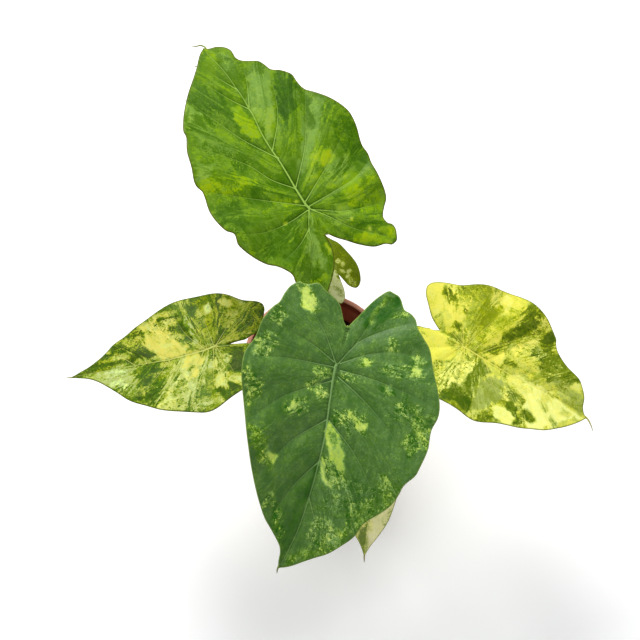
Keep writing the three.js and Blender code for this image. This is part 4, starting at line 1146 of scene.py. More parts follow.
def variegation_group():
    """Crisp flecks of cream on green, as much of them as the leaf's painted tone asks for."""
    tree, net, given, end = new_group("variegation", "ShaderNodeTree", [
        ("Fleck Size", FLOAT, 1.0), ("Fleck Contrast", FLOAT, 1.0), ("Streak", FLOAT, 0.5),
        ("Drift", FLOAT, 0.1),
    ], [("Tone", FLOAT), ("Warmth", FLOAT), ("Grain", FLOAT)])
    place = named_value(net, "leaf_place", "Vector")
    shake = net.centred(net.noise(place, 0.8, 3.0, 0.65, pick="Color"))
    size = net.joined(given["Fleck Size"], given["Fleck Size"], 1.0)
    near = net.vector("DIVIDE", net.vector("ADD", place, net.scaled(shake, 2.0)), size)
    run = net.vector("ADD", named_value(net, "leaf_run", "Vector"), net.scaled(shake, 1.6))
    run = net.vector("MULTIPLY", net.vector("DIVIDE", run, size), (0.24, 1.0, 1.0))
    dots = net.apart(net.cells(near, 1.5))[0]
    flecks, spare, _ = net.apart(net.cells(near, 0.66))
    strokes = net.apart(net.cells(run, 0.95))[0]
    bands = net.noise(run, 0.42, 4.0, 0.66)
    cloud = net.noise(near, 0.19, 5.0, 0.66)
    streak = given["Streak"]
    loose = dots * 0.36 + flecks * 0.36 + (cloud - 0.36) * 1.1
    streaked = dots * 0.22 + strokes * 0.46 + (bands - 0.34) * 1.3
    chance = (loose * (1.0 - streak) + streaked * streak).eased(0.12, 0.88)
    drift = (net.noise(place, 0.10, 2.0) - 0.5) + (bands - 0.5) * streak * 1.3
    painted = named_value(net, "tone") + drift * given["Drift"]
    light = chance.eased(0.8 - painted, 1.2 - painted)
    mottle = named_value(net, "mottle") * given["Fleck Contrast"]
    step = 0.32 + spare * 0.6
    tone = painted + mottle * ((light - painted) * step + (strokes - 0.5) * 0.16)
    warm_cloud = net.noise(place, 0.2, 3.0, 0.6)
    warmth = named_value(net, "warmth") + (warm_cloud - 0.5) * 0.9 + (spare - 0.5) * 0.4
    net.give(end.inputs["Tone"], tone.clamped())
    net.give(end.inputs["Warmth"], warmth.clamped())
    net.give(end.inputs["Grain"], net.noise(near, 1.9, 3.0, 0.7))
    return tree


def leaf_veins_group():
    """Veins, painted shade in the creases next to them, the bright margin, the underside and dry threads.
    """
    tree, net, given, end = new_group("leaf_veins", "ShaderNodeTree", [
        ("Color", COLOR, None), ("Vein Color", COLOR, None), ("Vein Strength", FLOAT, 0.7),
        ("Crease Shade", FLOAT, 0.4), ("Margin Color", COLOR, None), ("Margin Width", FLOAT, 0.7),
        ("Underside Color", COLOR, None),
    ], [("Color", COLOR), ("Vein", FLOAT), ("Underside", FLOAT)])
    gap = named_value(net, "vein_gap")
    ratio = gap / named_value(net, "vein_width")
    vein = ratio.eased(0.6, 1.35, 1.0, 0.0) * named_value(net, "vein_show")
    hugging = ratio.eased(1.6, 4.5, 1.0, 0.0) * named_value(net, "vein_show")
    # Painted shade: the colour darkens in the creases and along both sides of the veins, where shade falls.
    beside = (named_value(net, "crease").eased(0.45, 1.4) * 0.6 + hugging * 0.6) * (1.0 - vein)
    underside = named_value(net, "underside")
    below = underside.eased(0.4, 0.6)
    rib = underside.eased(1.4, 1.6)
    edge = (named_value(net, "edge_gap") / given["Margin Width"]).eased(0.25, 1.0, 1.0, 0.0)
    color = net.mixed(
        (beside * given["Crease Shade"]).clamped(), given["Color"], given["Color"], "MULTIPLY")
    color = net.mixed(vein * given["Vein Strength"], color, given["Vein Color"])
    color = net.mixed(edge * 0.75, color, given["Margin Color"])
    color = net.mixed(below * 0.55, color, given["Underside Color"])
    color = net.mixed(rib * 0.7, color, given["Vein Color"])
    color = net.mixed(named_value(net, "dry"), color, paint(128, 116, 78))
    net.give(end.inputs["Color"], color)
    net.give(end.inputs["Vein"], vein)
    net.give(end.inputs["Underside"], below)
    return tree


def leaf_skin_group():
    """Fine relief and gloss of a leaf: side veinlets, tiny dimples and patches of dust."""
    tree, net, given, end = new_group("leaf_skin", "ShaderNodeTree", [
        ("Gloss Low", FLOAT, 0.34), ("Gloss High", FLOAT, 0.52), ("Veinlet", FLOAT, 0.5),
    ], [("Height", FLOAT), ("Roughness", FLOAT), ("Veinlet", FLOAT)])
    place = named_value(net, "leaf_place", "Vector")
    run = named_value(net, "leaf_run", "Vector")
    shake = net.centred(net.noise(place, 0.5, 2.0, 0.5, pick="Color"))
    run = net.vector("ADD", run, net.scaled(shake, 2.0))
    flat_run = net.vector("MULTIPLY", run, (0.5, 1.0, 0.0))
    to_edge = net.cells(flat_run, 0.34, pick="Distance", feature="DISTANCE_TO_EDGE")
    veinlet = to_edge.eased(0.0, 0.10, 1.0, 0.0)
    pores = net.noise(place, 3.2, 2.0, 0.6)
    swell = net.noise(place, 0.22, 3.0, 0.55)
    height = swell * 2.2 - veinlet * given["Veinlet"] * 0.3 + pores * 0.14
    dusty = net.noise(place, 0.09, 4.0, 0.65).eased(0.42, 0.68)
    rough = given["Gloss Low"] + (given["Gloss High"] - given["Gloss Low"]) * dusty
    rough = rough + (pores - 0.5) * 0.12
    net.give(end.inputs["Height"], height)
    net.give(end.inputs["Roughness"], rough.clamped())
    net.give(end.inputs["Veinlet"], veinlet)
    return tree


VARIEGATION = variegation_group()
LEAF_VEINS = leaf_veins_group()
LEAF_SKIN = leaf_skin_group()

# Where the six tones of a leaf lie between the darkest green at 0 and cream at 1.
TONE_PLACES = (0.0, 0.2, 0.4, 0.6, 0.78, 1.0)
# For each leaf: its tones in yellowish and in cool paints, then the paints of its veins, margin
# and underside. The other numbers are its shine, the margin's width, the least and the greatest
# roughness, how clear the veins are, how dark the painted shade in the creases is, (fleck size,
# contrast, share of streaks), and drift.
LEAF_PAINTS = {
    "front": {
        "warm": [
            (35, 95, 5), (85, 120, 5), (100, 140, 20), (130, 170, 55), (170, 195, 70), (205, 225, 105),
        ],
        "cool": [
            (30, 75, 5), (80, 115, 55), (95, 130, 65), (120, 155, 95), (145, 175, 105), (170, 195, 130),
        ],
        "vein": (120, 155, 90), "margin": (130, 155, 70), "below": (120, 150, 90),
        "shine": 0.1, "edge": 0.7, "gloss": (0.38, 0.55), "vein_strength": 0.6, "crease": 0.55,
        "flecks": (0.95, 1.1, 0.4), "drift": 0.22,
    },
    "back": {
        "warm": [
            (35, 70, 5), (65, 105, 5), (95, 130, 5), (120, 155, 5), (145, 170, 5), (185, 190, 65),
        ],
        "cool": [
            (40, 80, 5), (70, 105, 5), (95, 130, 45), (115, 150, 60), (135, 165, 80), (170, 190, 105),
        ],
        "vein": (150, 185, 80), "margin": (90, 85, 20), "below": (140, 170, 90),
        "shine": 0.05, "edge": 1.1, "gloss": (0.34, 0.50), "vein_strength": 0.75, "crease": 0.75,
        "flecks": (1.6, 0.8, 0.85), "drift": 0.24,
    },
    "left": {
        "warm": [
            (45, 65, 5), (70, 95, 5), (120, 135, 5), (150, 160, 5), (175, 175, 60), (210, 200, 95),
        ],
        "cool": [
            (45, 75, 5), (70, 110, 5), (120, 140, 5), (150, 165, 75), (170, 185, 125), (200, 245, 145),
        ],
        "vein": (185, 190, 100), "margin": (70, 85, 15), "below": (160, 170, 100),
        "shine": 0.04, "edge": 1.1, "gloss": (0.40, 0.58), "vein_strength": 0.65, "crease": 0.55,
        "flecks": (1.3, 1.25, 0.7), "drift": 0.20,
    },
    "right": {
        "warm": [
            (70, 90, 10), (120, 135, 10), (140, 155, 10), (170, 180, 10), (205, 205, 65), (240, 230, 100),
        ],
        "cool": [
            (60, 90, 10), (110, 130, 15), (135, 150, 55), (155, 170, 85), (190, 205, 105), (240, 245, 150),
        ],
        "vein": (215, 210, 90), "margin": (105, 115, 30), "below": (190, 195, 110),
        "shine": 0.04, "edge": 0.9, "gloss": (0.40, 0.58), "vein_strength": 0.6, "crease": 0.5,
        "flecks": (1.3, 1.25, 0.65), "drift": 0.15,
    },
    "small_back": {
        "warm": [
            (85, 105, 0), (105, 120, 5), (130, 145, 15), (170, 180, 50), (205, 210, 110), (225, 225, 150),
        ],
        "cool": [
            (80, 100, 30), (110, 130, 50), (150, 160, 85), (185, 190, 125), (210, 210, 160),
            (230, 230, 185),
        ],
        "vein": (150, 160, 60), "margin": (90, 110, 20), "below": (150, 160, 90),
        "shine": 0.06, "edge": 0.7, "gloss": (0.36, 0.5), "vein_strength": 0.5, "crease": 0.4,
        "flecks": (0.9, 1.0, 0.4), "drift": 0.12,
    },
    "small_front": {
        "warm": [
            (80, 105, 10), (105, 130, 30), (145, 160, 60), (185, 190, 90), (215, 210, 125), (230, 225, 160),
        ],
        "cool": [
            (85, 105, 50), (120, 130, 75), (155, 160, 105), (185, 190, 130), (210, 205, 155),
            (230, 225, 185),
        ],
        "vein": (190, 190, 110), "margin": (130, 140, 60), "below": (160, 165, 110),
        "shine": 0.06, "edge": 0.7, "gloss": (0.42, 0.6), "vein_strength": 0.45, "crease": 0.35,
        "flecks": (1.1, 1.0, 0.6), "drift": 0.12,
    },
}


def leaf_material(name):
    """The marbled finish of one leaf."""
    paints = LEAF_PAINTS[name]
    material, net, shader = new_material(
        f"leaf_{name}", Specular_IOR_Level=paints["shine"], Coat_Roughness=0.25)
    fleck_size, fleck_contrast, streak = paints["flecks"]
    pattern = placed_group(
        net, VARIEGATION, Fleck_Size=fleck_size, Fleck_Contrast=fleck_contrast,
        Streak=streak, Drift=paints["drift"])

    def tones(key):
        return net.ramp(pattern["Tone"], [(p, paint(*c)) for p, c in zip(TONE_PLACES, paints[key])])

    color = net.mixed(pattern["Warmth"], tones("cool"), tones("warm"))
    skin = placed_group(net, LEAF_SKIN, Gloss_Low=paints["gloss"][0], Gloss_High=paints["gloss"][1])
    shade = net.ramp(pattern["Grain"], [(0.25, (0.86, 0.88, 0.84, 1)), (0.75, (1.12, 1.1, 1.14, 1))])
    color = net.mixed(1.0, color, shade, "MULTIPLY")
    color = net.mixed(skin["Veinlet"] * 0.07, color, paint(*paints["vein"]))
    dressed = placed_group(
        net, LEAF_VEINS, Color=color, Vein_Color=paint(*paints["vein"]),
        Vein_Strength=paints["vein_strength"], Crease_Shade=paints["crease"],
        Margin_Color=paint(*paints["margin"]), Margin_Width=paints["edge"],
        Underside_Color=paint(*paints["below"]))
    rough = skin["Roughness"] + dressed["Underside"] * 0.16 + dressed["Vein"] * 0.05
    coat = (1.0 - dressed["Underside"]) * paints["shine"] * 0.25
    finish_surface(net, shader, dressed["Color"], rough.clamped(), skin["Height"], 0.00016, coat)
    return material


# Leaves
def ready(piece, node):
    """The piece stands for its CAD node, which it hides, and rides on the one body."""
    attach(piece, "root")
    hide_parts(node)


LEAF_BLADE = leaf_blade_tree()
for leaf_name, leaf in LEAVES.items():
    along, left, up = leaf_axes(leaf)
    wave_height, wave_count, wave_phase = leaf["wave"]
    blade = grown(
        f"blade_{leaf_name}_leaf", LEAF_BLADE, flat_leaf(leaf_name, leaf),
        at=Vector(leaf["at"]) * MM, along=along, left=left, up=up,
        fold=math.radians(leaf["fold"]), tip_fall=leaf["fall"][0] / MM,
        lobe_fall=leaf["fall"][1] / MM, wave_height=wave_height * MM,
        wave_count=float(wave_count), wave_phase=float(wave_phase),
        quilting=leaf["quilting"] * MM, material=leaf_material(leaf_name),
    )
    ready(blade, f"blade_{leaf_name}")


# Stalk lines
# A stalk's foot, lean in degrees, rise and arrival, foot radius and top radius, in millimetres.
STALKS = {
    "front": ((1, -3, 82), 8, 60, 40, 5, 2.4),
    "back": ((-1, 4, 79), 14, 50, 38, 5, 2.4),
    "right": ((5, -1, 77), 20, 44, 34, 4.6, 2.1),
    "left": ((-5, -1, 75), 18, 38, 30, 4.6, 2.1),
    "small_back": ((2, 6, 74), 14, 32, 22, 3.4, 1.5),
    "small_front": ((3, -7, 73), 14, 42, 34, 3.4, 1.5),
}


def bezier(a, b, c, d, count):
    """So many points along the curve from a to d that b and c pull on."""
    t = np.linspace(0, 1, count)[:, None]
    a, b, c, d = (np.array(p, float) for p in (a, b, c, d))
    return (1 - t) ** 3 * a + 3 * (1 - t) ** 2 * t * b + 3 * (1 - t) * t**2 * c + t**3 * d


def stalk_line(name):
    """The middle line of a stalk, from the stem to the underside of its leaf."""
    foot, lean, rise, arrival = STALKS[name][:4]
    leaf = LEAVES[name]
    foot, end = Vector(foot), Vector(leaf["at"])
    outward = (end - foot) * Vector((1, 1, 0))
    outward.normalize()
    lean = math.radians(lean)
    start = Vector((0, 0, 1)) * math.cos(lean) + outward * math.sin(lean)
    veins = [smooth_line(v, leaf["mesh"]) for v in leaf["veins"]]
    crease = vein_fields(np.zeros((1, 2)), veins, leaf_size(leaf))[3][0]
    up = leaf_axes(leaf)[2]
    top_gap = 0.9
    end = end - up * (leaf["quilting"] * crease + top_gap)
    arrive = ((end - foot).normalized() * 0.5 + outward * 0.12 + up * 0.75).normalized()
    line = bezier(foot, foot + start * rise, end - arrive * arrival * 0.85, end, 60)
    return smooth_line(line, 2.0), outward


# Geometry below the leaves
def rod_tree():
    """A rod along each line of the source, as thick as its points say."""
    tree, net, given, end = new_geometry("rod", ("Sides", WHOLE, 8), ("Gnarl", FLOAT, 0.0))
    rod = net.tube(net.line_of(given["Geometry"]), given["Sides"], net.named("thick"))
    bumps = net.noise(net.position(), 320.0, 2.0)
    rod = net.moved(rod, Offset=net.scaled(net.normal(), (bumps - 0.5) * given["Gnarl"]))
    net.finish(end, net.shaded(net.real(rod), True), given["Material"])
    return tree


def leaf_stalk_tree():
    """A tapering stalk with a grooved inner side, sheath wings at its foot and a collar on top."""
    tree, net, given, end = new_geometry(
        "leaf_stalk", ("Outward", VECTOR, None), ("Foot Radius", FLOAT, 0.005),
        ("Top Radius", FLOAT, 0.0024), ("Taper", FLOAT, 0.7), ("Groove Depth", FLOAT, 0.34),
        ("Sheath Share", FLOAT, 0.34), ("Sheath Width", FLOAT, 0.34), ("Length", FLOAT, 0.17),
    )
    along = net.named("along")
    collar = along.eased(0.95, 1.0) * 0.22
    narrowing = (given["Top Radius"] - given["Foot Radius"]) * along ** given["Taper"]
    radius = (given["Foot Radius"] + narrowing) * (1.0 + collar)
    position = net.position()
    line = net.stored(net.line_of(given["Geometry"]), "centre", position, "FLOAT_VECTOR")
    stalk = net.tube(line, 40, radius)
    from_centre = net.vector("SUBTRACT", position, net.named("centre", "FLOAT_VECTOR"))
    radial = net.vector("NORMALIZE", from_centre)
    facing = 0.0 - net.vector("DOT_PRODUCT", radial, given["Outward"], pick=1)
    share = given["Sheath Share"]
    sheath = along.eased(share * 0.45, share, 1.0, 0.0)
    groove = facing.eased(0.55, 0.98) * (
        given["Groove Depth"] * sheath + 0.14 * along.eased(0.5, 0.9, 1.0, 0.25))
    wing_place = (facing - 0.52) / 0.16
    wing = (0.0 - wing_place * wing_place).exp() * sheath * given["Sheath Width"]
    ridges = (net.noise(net.scaled(radial, 3.0), 2.4, 1.0) - 0.5) * 0.05
    upward = net.joined(0.0, 0.0, along * given["Length"] * 14.0)
    stalk = net.stored(stalk, "stalk_place", net.vector("ADD", radial, upward), "FLOAT_VECTOR")
    stalk = net.stored(stalk, "wing", wing)
    stalk = net.moved(stalk, Offset=net.scaled(radial, radius * (wing - groove + ridges)))
    net.finish(end, net.shaded(net.real(stalk), True), given["Material"])
    return tree


def turned_tree():
    """Turns the source's profile, x as radius and z as height, about Z into a closed body."""
    tree, net, given, end = new_geometry(
        "turned", ("Sides", WHOLE, 128), ("Lump Height", FLOAT, 0.0), ("Lump Scale", FLOAT, 120.0),
        ("Lumps From", FLOAT, -1.0), ("Sharp Angle", FLOAT, 0.6), ("Holes", WHOLE, 0),
        ("Hole Ring", FLOAT, 0.026), ("Hole Diameter", FLOAT, 0.007), ("Slot Ring", FLOAT, 0.039),
        ("Slot Size", VECTOR, None),
    )
    profile, position = given["Geometry"], net.position()
    count = net.out("GeometryNodeAttributeDomainSize", {"Geometry": profile}, component="MESH")
    grid = net.out("GeometryNodeMeshGrid", {
        "Size X": 1.0, "Size Y": 1.0, "Vertices X": count, "Vertices Y": given["Sides"] + 1.0,
    })
    x, y, _ = net.apart(position)
    row = ((x + 0.5) * (count - 1.0)).rounded()
    turn = (y + 0.5) * (2 * math.pi)
    radius, _, height = net.apart(net.out(
        "GeometryNodeSampleIndex", {"Geometry": profile, "Value": position, "Index": row},
        data_type="FLOAT_VECTOR", domain="POINT",
    ))
    around = net.joined(radius * turn.cos(), radius * turn.sin(), height)
    body = net.welded(net.moved(grid, Position=around))
    lumps = net.noise(position, given["Lump Scale"], 5.0, 0.62) - 0.5
    rise = net.apart(position)[2].eased(given["Lumps From"], given["Lumps From"] + 0.004)
    body = net.moved(body, Offset=net.scaled(net.normal(), lumps * given["Lump Height"] * rise))

    index = net.out("GeometryNodeInputIndex")
    step = (2 * math.pi) / given["Holes"].maximum(1.0)

    def ring_of(shape, ring, offset):
        """As many copies of a shape as there are holes, evenly round a ring."""
        angle = (index + offset) * step
        place = net.joined(angle.cos() * ring, angle.sin() * ring, 0.0)
        points = net.out("GeometryNodePoints", {"Count": given["Holes"], "Position": place})
        spin = net.out("FunctionNodeEulerToRotation", {0: net.joined(0.0, 0.0, angle)})
        return net.out(
            "GeometryNodeInstanceOnPoints", {"Points": points, "Instance": shape, "Rotation": spin})

    drill = net.out("GeometryNodeMeshCylinder", {
        "Vertices": 32, "Radius": given["Hole Diameter"] * 0.5, "Depth": 0.006,
    })
    slot = net.out("GeometryNodeMeshCube", {"Size": given["Slot Size"]})
    drills, slots = ring_of(drill, given["Hole Ring"], 0.0), ring_of(slot, given["Slot Ring"], 0.5)
    cut = net.out(
        "GeometryNodeMeshBoolean", {"Mesh 1": body, "Mesh 2": net.real(net.one(drills, slots))},
        operation="DIFFERENCE", solver="EXACT",
    )
    body = net.out(
        "GeometryNodeSwitch", {"Switch": given["Holes"] > 0.5, "False": body, "True": cut},
        input_type="GEOMETRY",
    )
    sharp = net.out("GeometryNodeInputMeshEdgeAngle") > given["Sharp Angle"]
    body = net.shaded(net.shaded(net.real(body), True), False, "EDGE", Selection=sharp)
    net.finish(end, body, given["Material"])
    return tree


def scatter_tree():
    """Small lumps strewn over the flat upper faces of the source, each turned and dented alone."""
    tree, net, given, end = new_geometry(
        "scatter", ("Density", FLOAT, 1e5), ("Smallest", VECTOR, None), ("Largest", VECTOR, None),
        ("Dents", FLOAT, 0.0005), ("Detail", WHOLE, 1), ("Inner Radius", FLOAT, 0.012),
        ("Outer Radius", FLOAT, 0.046), ("Lift", FLOAT, 0.0), ("Seed", WHOLE, 1),
    )
    position = net.position()
    x, y, z = net.apart(position)
    out = (x * x + y * y).root()
    least_upward, lowest = 0.4, 0.06
    on_top = (net.apart(net.normal())[2] > least_upward) * (z > lowest)
    open_ground = on_top * (out > given["Inner Radius"]) * (out < given["Outer Radius"])
    points = net.out("GeometryNodeDistributePointsOnFaces", {
        "Mesh": given["Geometry"], "Selection": open_ground, "Density": given["Density"],
        "Seed": given["Seed"],
    })

    def random_vector(low, high, seed):
        inputs = {0: low, 1: high, "Seed": seed}
        return net.out("FunctionNodeRandomValue", inputs, data_type="FLOAT_VECTOR")

    spin = net.out(
        "FunctionNodeEulerToRotation", {0: random_vector((0, 0, 0), (6.28, 6.28, 6.28), 3)})
    ball = net.out("GeometryNodeMeshIcoSphere", {"Radius": 1.0, "Subdivisions": given["Detail"]})
    lumps = net.real(net.out("GeometryNodeInstanceOnPoints", {
        "Points": points, "Instance": ball, "Rotation": spin,
        "Scale": random_vector(given["Smallest"], given["Largest"], 5),
    }))
    dents = net.scaled(net.centred(net.noise(position, 700.0, 1.0, pick="Color")), given["Dents"])
    lift = net.joined(0.0, 0.0, given["Lift"])
    lumps = net.moved(lumps, Offset=net.vector("ADD", dents, lift))
    net.finish(end, net.shaded(lumps, False), given["Material"])
    return tree


# Finishes below the leaves
def weathering_group():
    """Clouds, fine grain and specks on Object coordinates, for anything grown or moulded."""
    tree, net, given, end = new_group("weathering", "ShaderNodeTree", [
        ("Cloud Scale", FLOAT, 40.0), ("Grain Scale", FLOAT, 900.0), ("Speck Scale", FLOAT, 350.0),
        ("Stretch", VECTOR, (1.0, 1.0, 1.0)),
    ], [("Cloud", FLOAT), ("Grain", FLOAT), ("Specks", FLOAT), ("Height Above Ground", FLOAT)])
    place = net.out("ShaderNodeTexCoord", pick="Object")
    height = net.apart(place)[2]
    place = net.vector("MULTIPLY", place, given["Stretch"])
    cloud = net.noise(place, given["Cloud Scale"], 5.0, 0.6)
    grain = net.noise(place, given["Grain Scale"], 3.0, 0.65)
    specks = net.cells(place, given["Speck Scale"], pick="Distance").eased(0.10, 0.22, 1.0, 0.0)
    sparse = net.noise(place, given["Cloud Scale"] * 3.0, 2.0).eased(0.5, 0.7)
    net.give(end.inputs["Cloud"], cloud)
    net.give(end.inputs["Grain"], grain)
    net.give(end.inputs["Specks"], specks * sparse)
    net.give(end.inputs["Height Above Ground"], height)
    return tree


WEATHERING = weathering_group()


def pot_material():
    """Terracotta-coloured plastic: dull, paler on the lip from scuffs and a painted highlight, painted
    shade on the inner wall, dusted with soil and salts.
    """
    material, net, shader = new_material(
        "terracotta_plastic", Specular_IOR_Level=0.4, Coat_Roughness=0.4)
    wear = placed_group(net, WEATHERING, Cloud_Scale=55.0, Grain_Scale=1500.0, Speck_Scale=420.0)
    place = net.out("ShaderNodeTexCoord", pick="Object")
    x, y, z = net.apart(place)
    out = (x * x + y * y).root()
    floor_height, inner_foot, wall_slope = 0.002, 0.0376, 0.157
    wall = inner_foot + (z - floor_height) * wall_slope
    # Painted shade: the inside of the wall is painted a darker red-brown.
    inner = (out - wall).eased(-0.0006, 0.0002, 1.0, 0.0) * (z > floor_height)
    lip_foot, lip_top = 0.0975, 0.0997
    lip = z.eased(lip_foot, lip_top)
    color = net.ramp(wear["Cloud"], [
        (0.25, paint(150, 62, 44)), (0.5, paint(168, 76, 56)), (0.75, paint(182, 92, 70))])
    # The darker red-brown of the painted shade inside the wall.
    inside = net.ramp(wear["Cloud"], [(0.3, paint(110, 38, 24)), (0.7, paint(142, 56, 40))])
    color = net.mixed(inner, color, inside)
    # Partly scuffs and partly a painted highlight: the lip top is paled where the light catches it.
    lip_scuff_and_highlight = (lip * wear["Cloud"].eased(0.25, 0.6, 0.65, 1.0)).clamped()
    color = net.mixed(lip_scuff_and_highlight, color, paint(208, 140, 124))
    salts = wear["Cloud"].eased(0.52, 0.72) * z.eased(0.035, 0.0, 0.07, 0.42)
    color = net.mixed(salts, color, paint(204, 172, 156))
    dust = wear["Specks"] * 0.5 + net.noise(place, 260.0, 4.0, 0.7).eased(0.56, 0.72) * 0.3
    color = net.mixed(dust.clamped(), color, paint(96, 66, 50))
    rings = (z * 2900.0).sin() * 0.5
    height = wear["Grain"] * 0.5 + rings * 0.25 + wear["Cloud"] * 0.6
    rough = wear["Cloud"].eased(0.3, 0.7, 0.46, 0.62) + lip_scuff_and_highlight * 0.12 + dust * 0.2
    finish_surface(net, shader, color, rough.clamped(), height, 0.00008)
    return material


def soil_material(name, stops):
    """Crumbly earth or bark: stops are its paints from dark to pale."""
    material, net, shader = new_material(name, Specular_IOR_Level=0.3)
    wear = placed_group(net, WEATHERING, Cloud_Scale=180.0, Grain_Scale=1600.0, Speck_Scale=700.0)
    tone = wear["Cloud"] * 0.6 + wear["Grain"] * 0.4
    places = [0.34 + 0.32 * i / (len(stops) - 1) for i in range(len(stops))]
    color = net.ramp(tone, [(place, paint(*c)) for place, c in zip(places, stops)])
    color = net.mixed(wear["Specks"] * 0.6, color, paint(*stops[-1]))
    rough = wear["Grain"].eased(0.3, 0.7, 0.82, 0.98)
    finish_surface(net, shader, color, rough, wear["Grain"] + wear["Cloud"], 0.0006)
    return material


def stem_material():
    """The stem's ringed bark: green-buff between brown papery leaf scars."""
    material, net, shader = new_material("ringed_stem", Specular_IOR_Level=0.35)
    wear = placed_group(
        net, WEATHERING, Cloud_Scale=120.0, Grain_Scale=900.0, Speck_Scale=500.0,
        Stretch=(1.0, 1.0, 2.6))
    z = wear["Height Above Ground"]
    rings = (z * 2600.0 + wear["Cloud"] * 5.0).sin()
    color = net.ramp(wear["Cloud"], [
        (0.3, paint(104, 92, 52)), (0.5, paint(138, 130, 80)), (0.7, paint(164, 160, 104))])
    color = net.mixed(rings.eased(0.1, 0.9) * 0.75, color, paint(88, 60, 36))
    color = net.mixed(wear["Specks"] * 0.6, color, paint(60, 42, 28))
    rough = wear["Grain"].eased(0.3, 0.7, 0.62, 0.85)
    finish_surface(net, shader, color, rough, wear["Grain"] * 0.6 + rings * 0.6, 0.0003)
    return material


def stalk_material():
    """A leaf stalk: green with cream streaks, paler and browner at the sheath."""
    material, net, shader = new_material(
        "streaked_stalk", Specular_IOR_Level=0.45, Coat_Roughness=0.3)
    place = named_value(net, "stalk_place", "Vector")
    wing = named_value(net, "wing")
    along = net.apart(place)[2]
    streaks = net.noise(place, 2.6, 4.0, 0.6)
    fine = net.noise(net.vector("MULTIPLY", place, (3.2, 3.2, 1.6)), 3.0, 3.0, 0.6)
    wear = placed_group(net, WEATHERING, Cloud_Scale=60.0, Grain_Scale=1300.0, Speck_Scale=480.0)
    color = net.ramp(streaks * 0.7 + fine * 0.3, [
        (0.34, paint(84, 122, 36)), (0.47, paint(116, 152, 54)), (0.54, paint(160, 182, 84)),
        (0.60, paint(206, 212, 132)), (0.7, paint(226, 226, 164))])
    base = along.eased(0.0, 0.55, 1.0, 0.0)
    color = net.mixed(base * 0.55, color, paint(196, 186, 138))
    color = net.mixed((base * wear["Cloud"].eased(0.5, 0.62)) * 0.5, color, paint(140, 88, 66))
    color = net.mixed(wing.eased(0.16, 0.3) * 0.6, color, paint(186, 160, 110))
    color = net.mixed(wear["Specks"] * 0.45, color, paint(92, 104, 48))
    rough = wear["Grain"].eased(0.3, 0.7, 0.36, 0.52)
    coat = wear["Cloud"].eased(0.3, 0.7, 0.05, 0.2)
    finish_surface(net, shader, color, rough, wear["Grain"] * 0.3 + fine * 0.7, 0.00025, coat)
    return material


# Stalks
def facing_out(piece):
    """Turns a closed piece the right way round if its faces point inwards."""
    mesh = piece.data
    mesh.calc_loop_triangles()
    points = np.array([v.co for v in mesh.vertices])
    corners = np.array([t.vertices for t in mesh.loop_triangles])
    a, b, c = points[corners[:, 0]], points[corners[:, 1]], points[corners[:, 2]]
    if np.einsum("ij,ij->i", a, np.cross(b, c)).sum() < 0:
        mesh.flip_normals()
    return piece


LEAF_STALK = leaf_stalk_tree()
stalk_finish = stalk_material()
for stalk_name, (_, _, _, _, foot_radius, top_radius) in STALKS.items():
    line, outward = stalk_line(stalk_name)
    source = line_mesh(stalk_name, [line * MM], along=[np.linspace(0, 1, len(line))])
    stalk = grown(
        f"petiole_{stalk_name}_stalk", LEAF_STALK, source, outward=outward,
        foot_radius=foot_radius * MM, top_radius=top_radius * MM,
        length=np.linalg.norm(np.diff(line, axis=0), axis=1).sum() * MM, material=stalk_finish,
    )
    ready(facing_out(stalk), f"petiole_{stalk_name}")


# Pot
# Its profile as (radius, height): from the middle of the base, up the outside, over the lip,
# down the inside and back to the middle.
POT_PROFILE = [
    (0, 0.5), (3, 0.5), (3.4, 0), (5, 0), (5.4, 0.5), (17, 0.5), (17.6, 0), (37, 0), (38, 0.2),
    (38.6, 0.7), (39, 2), (41, 14.8), (52.4, 88.4), (52.7, 89.1), (53.9, 89.6), (54.3, 90.1),
    (54.5, 91), (55, 98.8), (54.9, 99.5), (54.4, 99.9), (53.6, 100), (52.4, 100), (51.85, 99.8),
    (51.6, 99.3), (51.6, 98.4), (51.5, 97), (51.2, 88), (37.6, 2.9), (37.2, 2.0), (36.2, 1.4),
    (0, 1.4),
]
TURNED = turned_tree()


def profile_mesh(name, points, step=None):
    """A profile of (radius, height) millimetres as a line mesh, with more points if step is given."""
    points = np.array(points, float)
    if step:
        fine = [points[0]]
        for a, b in zip(points, points[1:]):
            count = max(1, round(np.linalg.norm(b - a) / step))
            fine += [a + (b - a) * (k + 1) / count for k in range(count)]
        points = np.array(fine)
    return line_mesh(name, [np.column_stack([points[:, 0], 0 * points[:, 0], points[:, 1]]) * MM])


pot = grown(
    "pot_shell", TURNED, profile_mesh("pot_profile", POT_PROFILE), sides=144, sharp_angle=0.9,
    holes=8, slot_size=(0.006, 0.009, 0.008), material=pot_material(),
)
ready(facing_out(pot), "pot")


# Soil
# The profile of the filling as (radius, height), from the middle of its base to that of its top.
SOIL_PROFILE = [
    (0, 1.7), (35.4, 1.7), (37.5, 4.6), (48.1, 71.4), (47.6, 72.5), (46.4, 73.0), (36.4, 73.6),
    (24, 73.3), (15, 76.2), (0, 76.6),
]
EARTH_PAINTS = [(26, 17, 12), (44, 30, 21), (66, 46, 32), (92, 68, 48)]
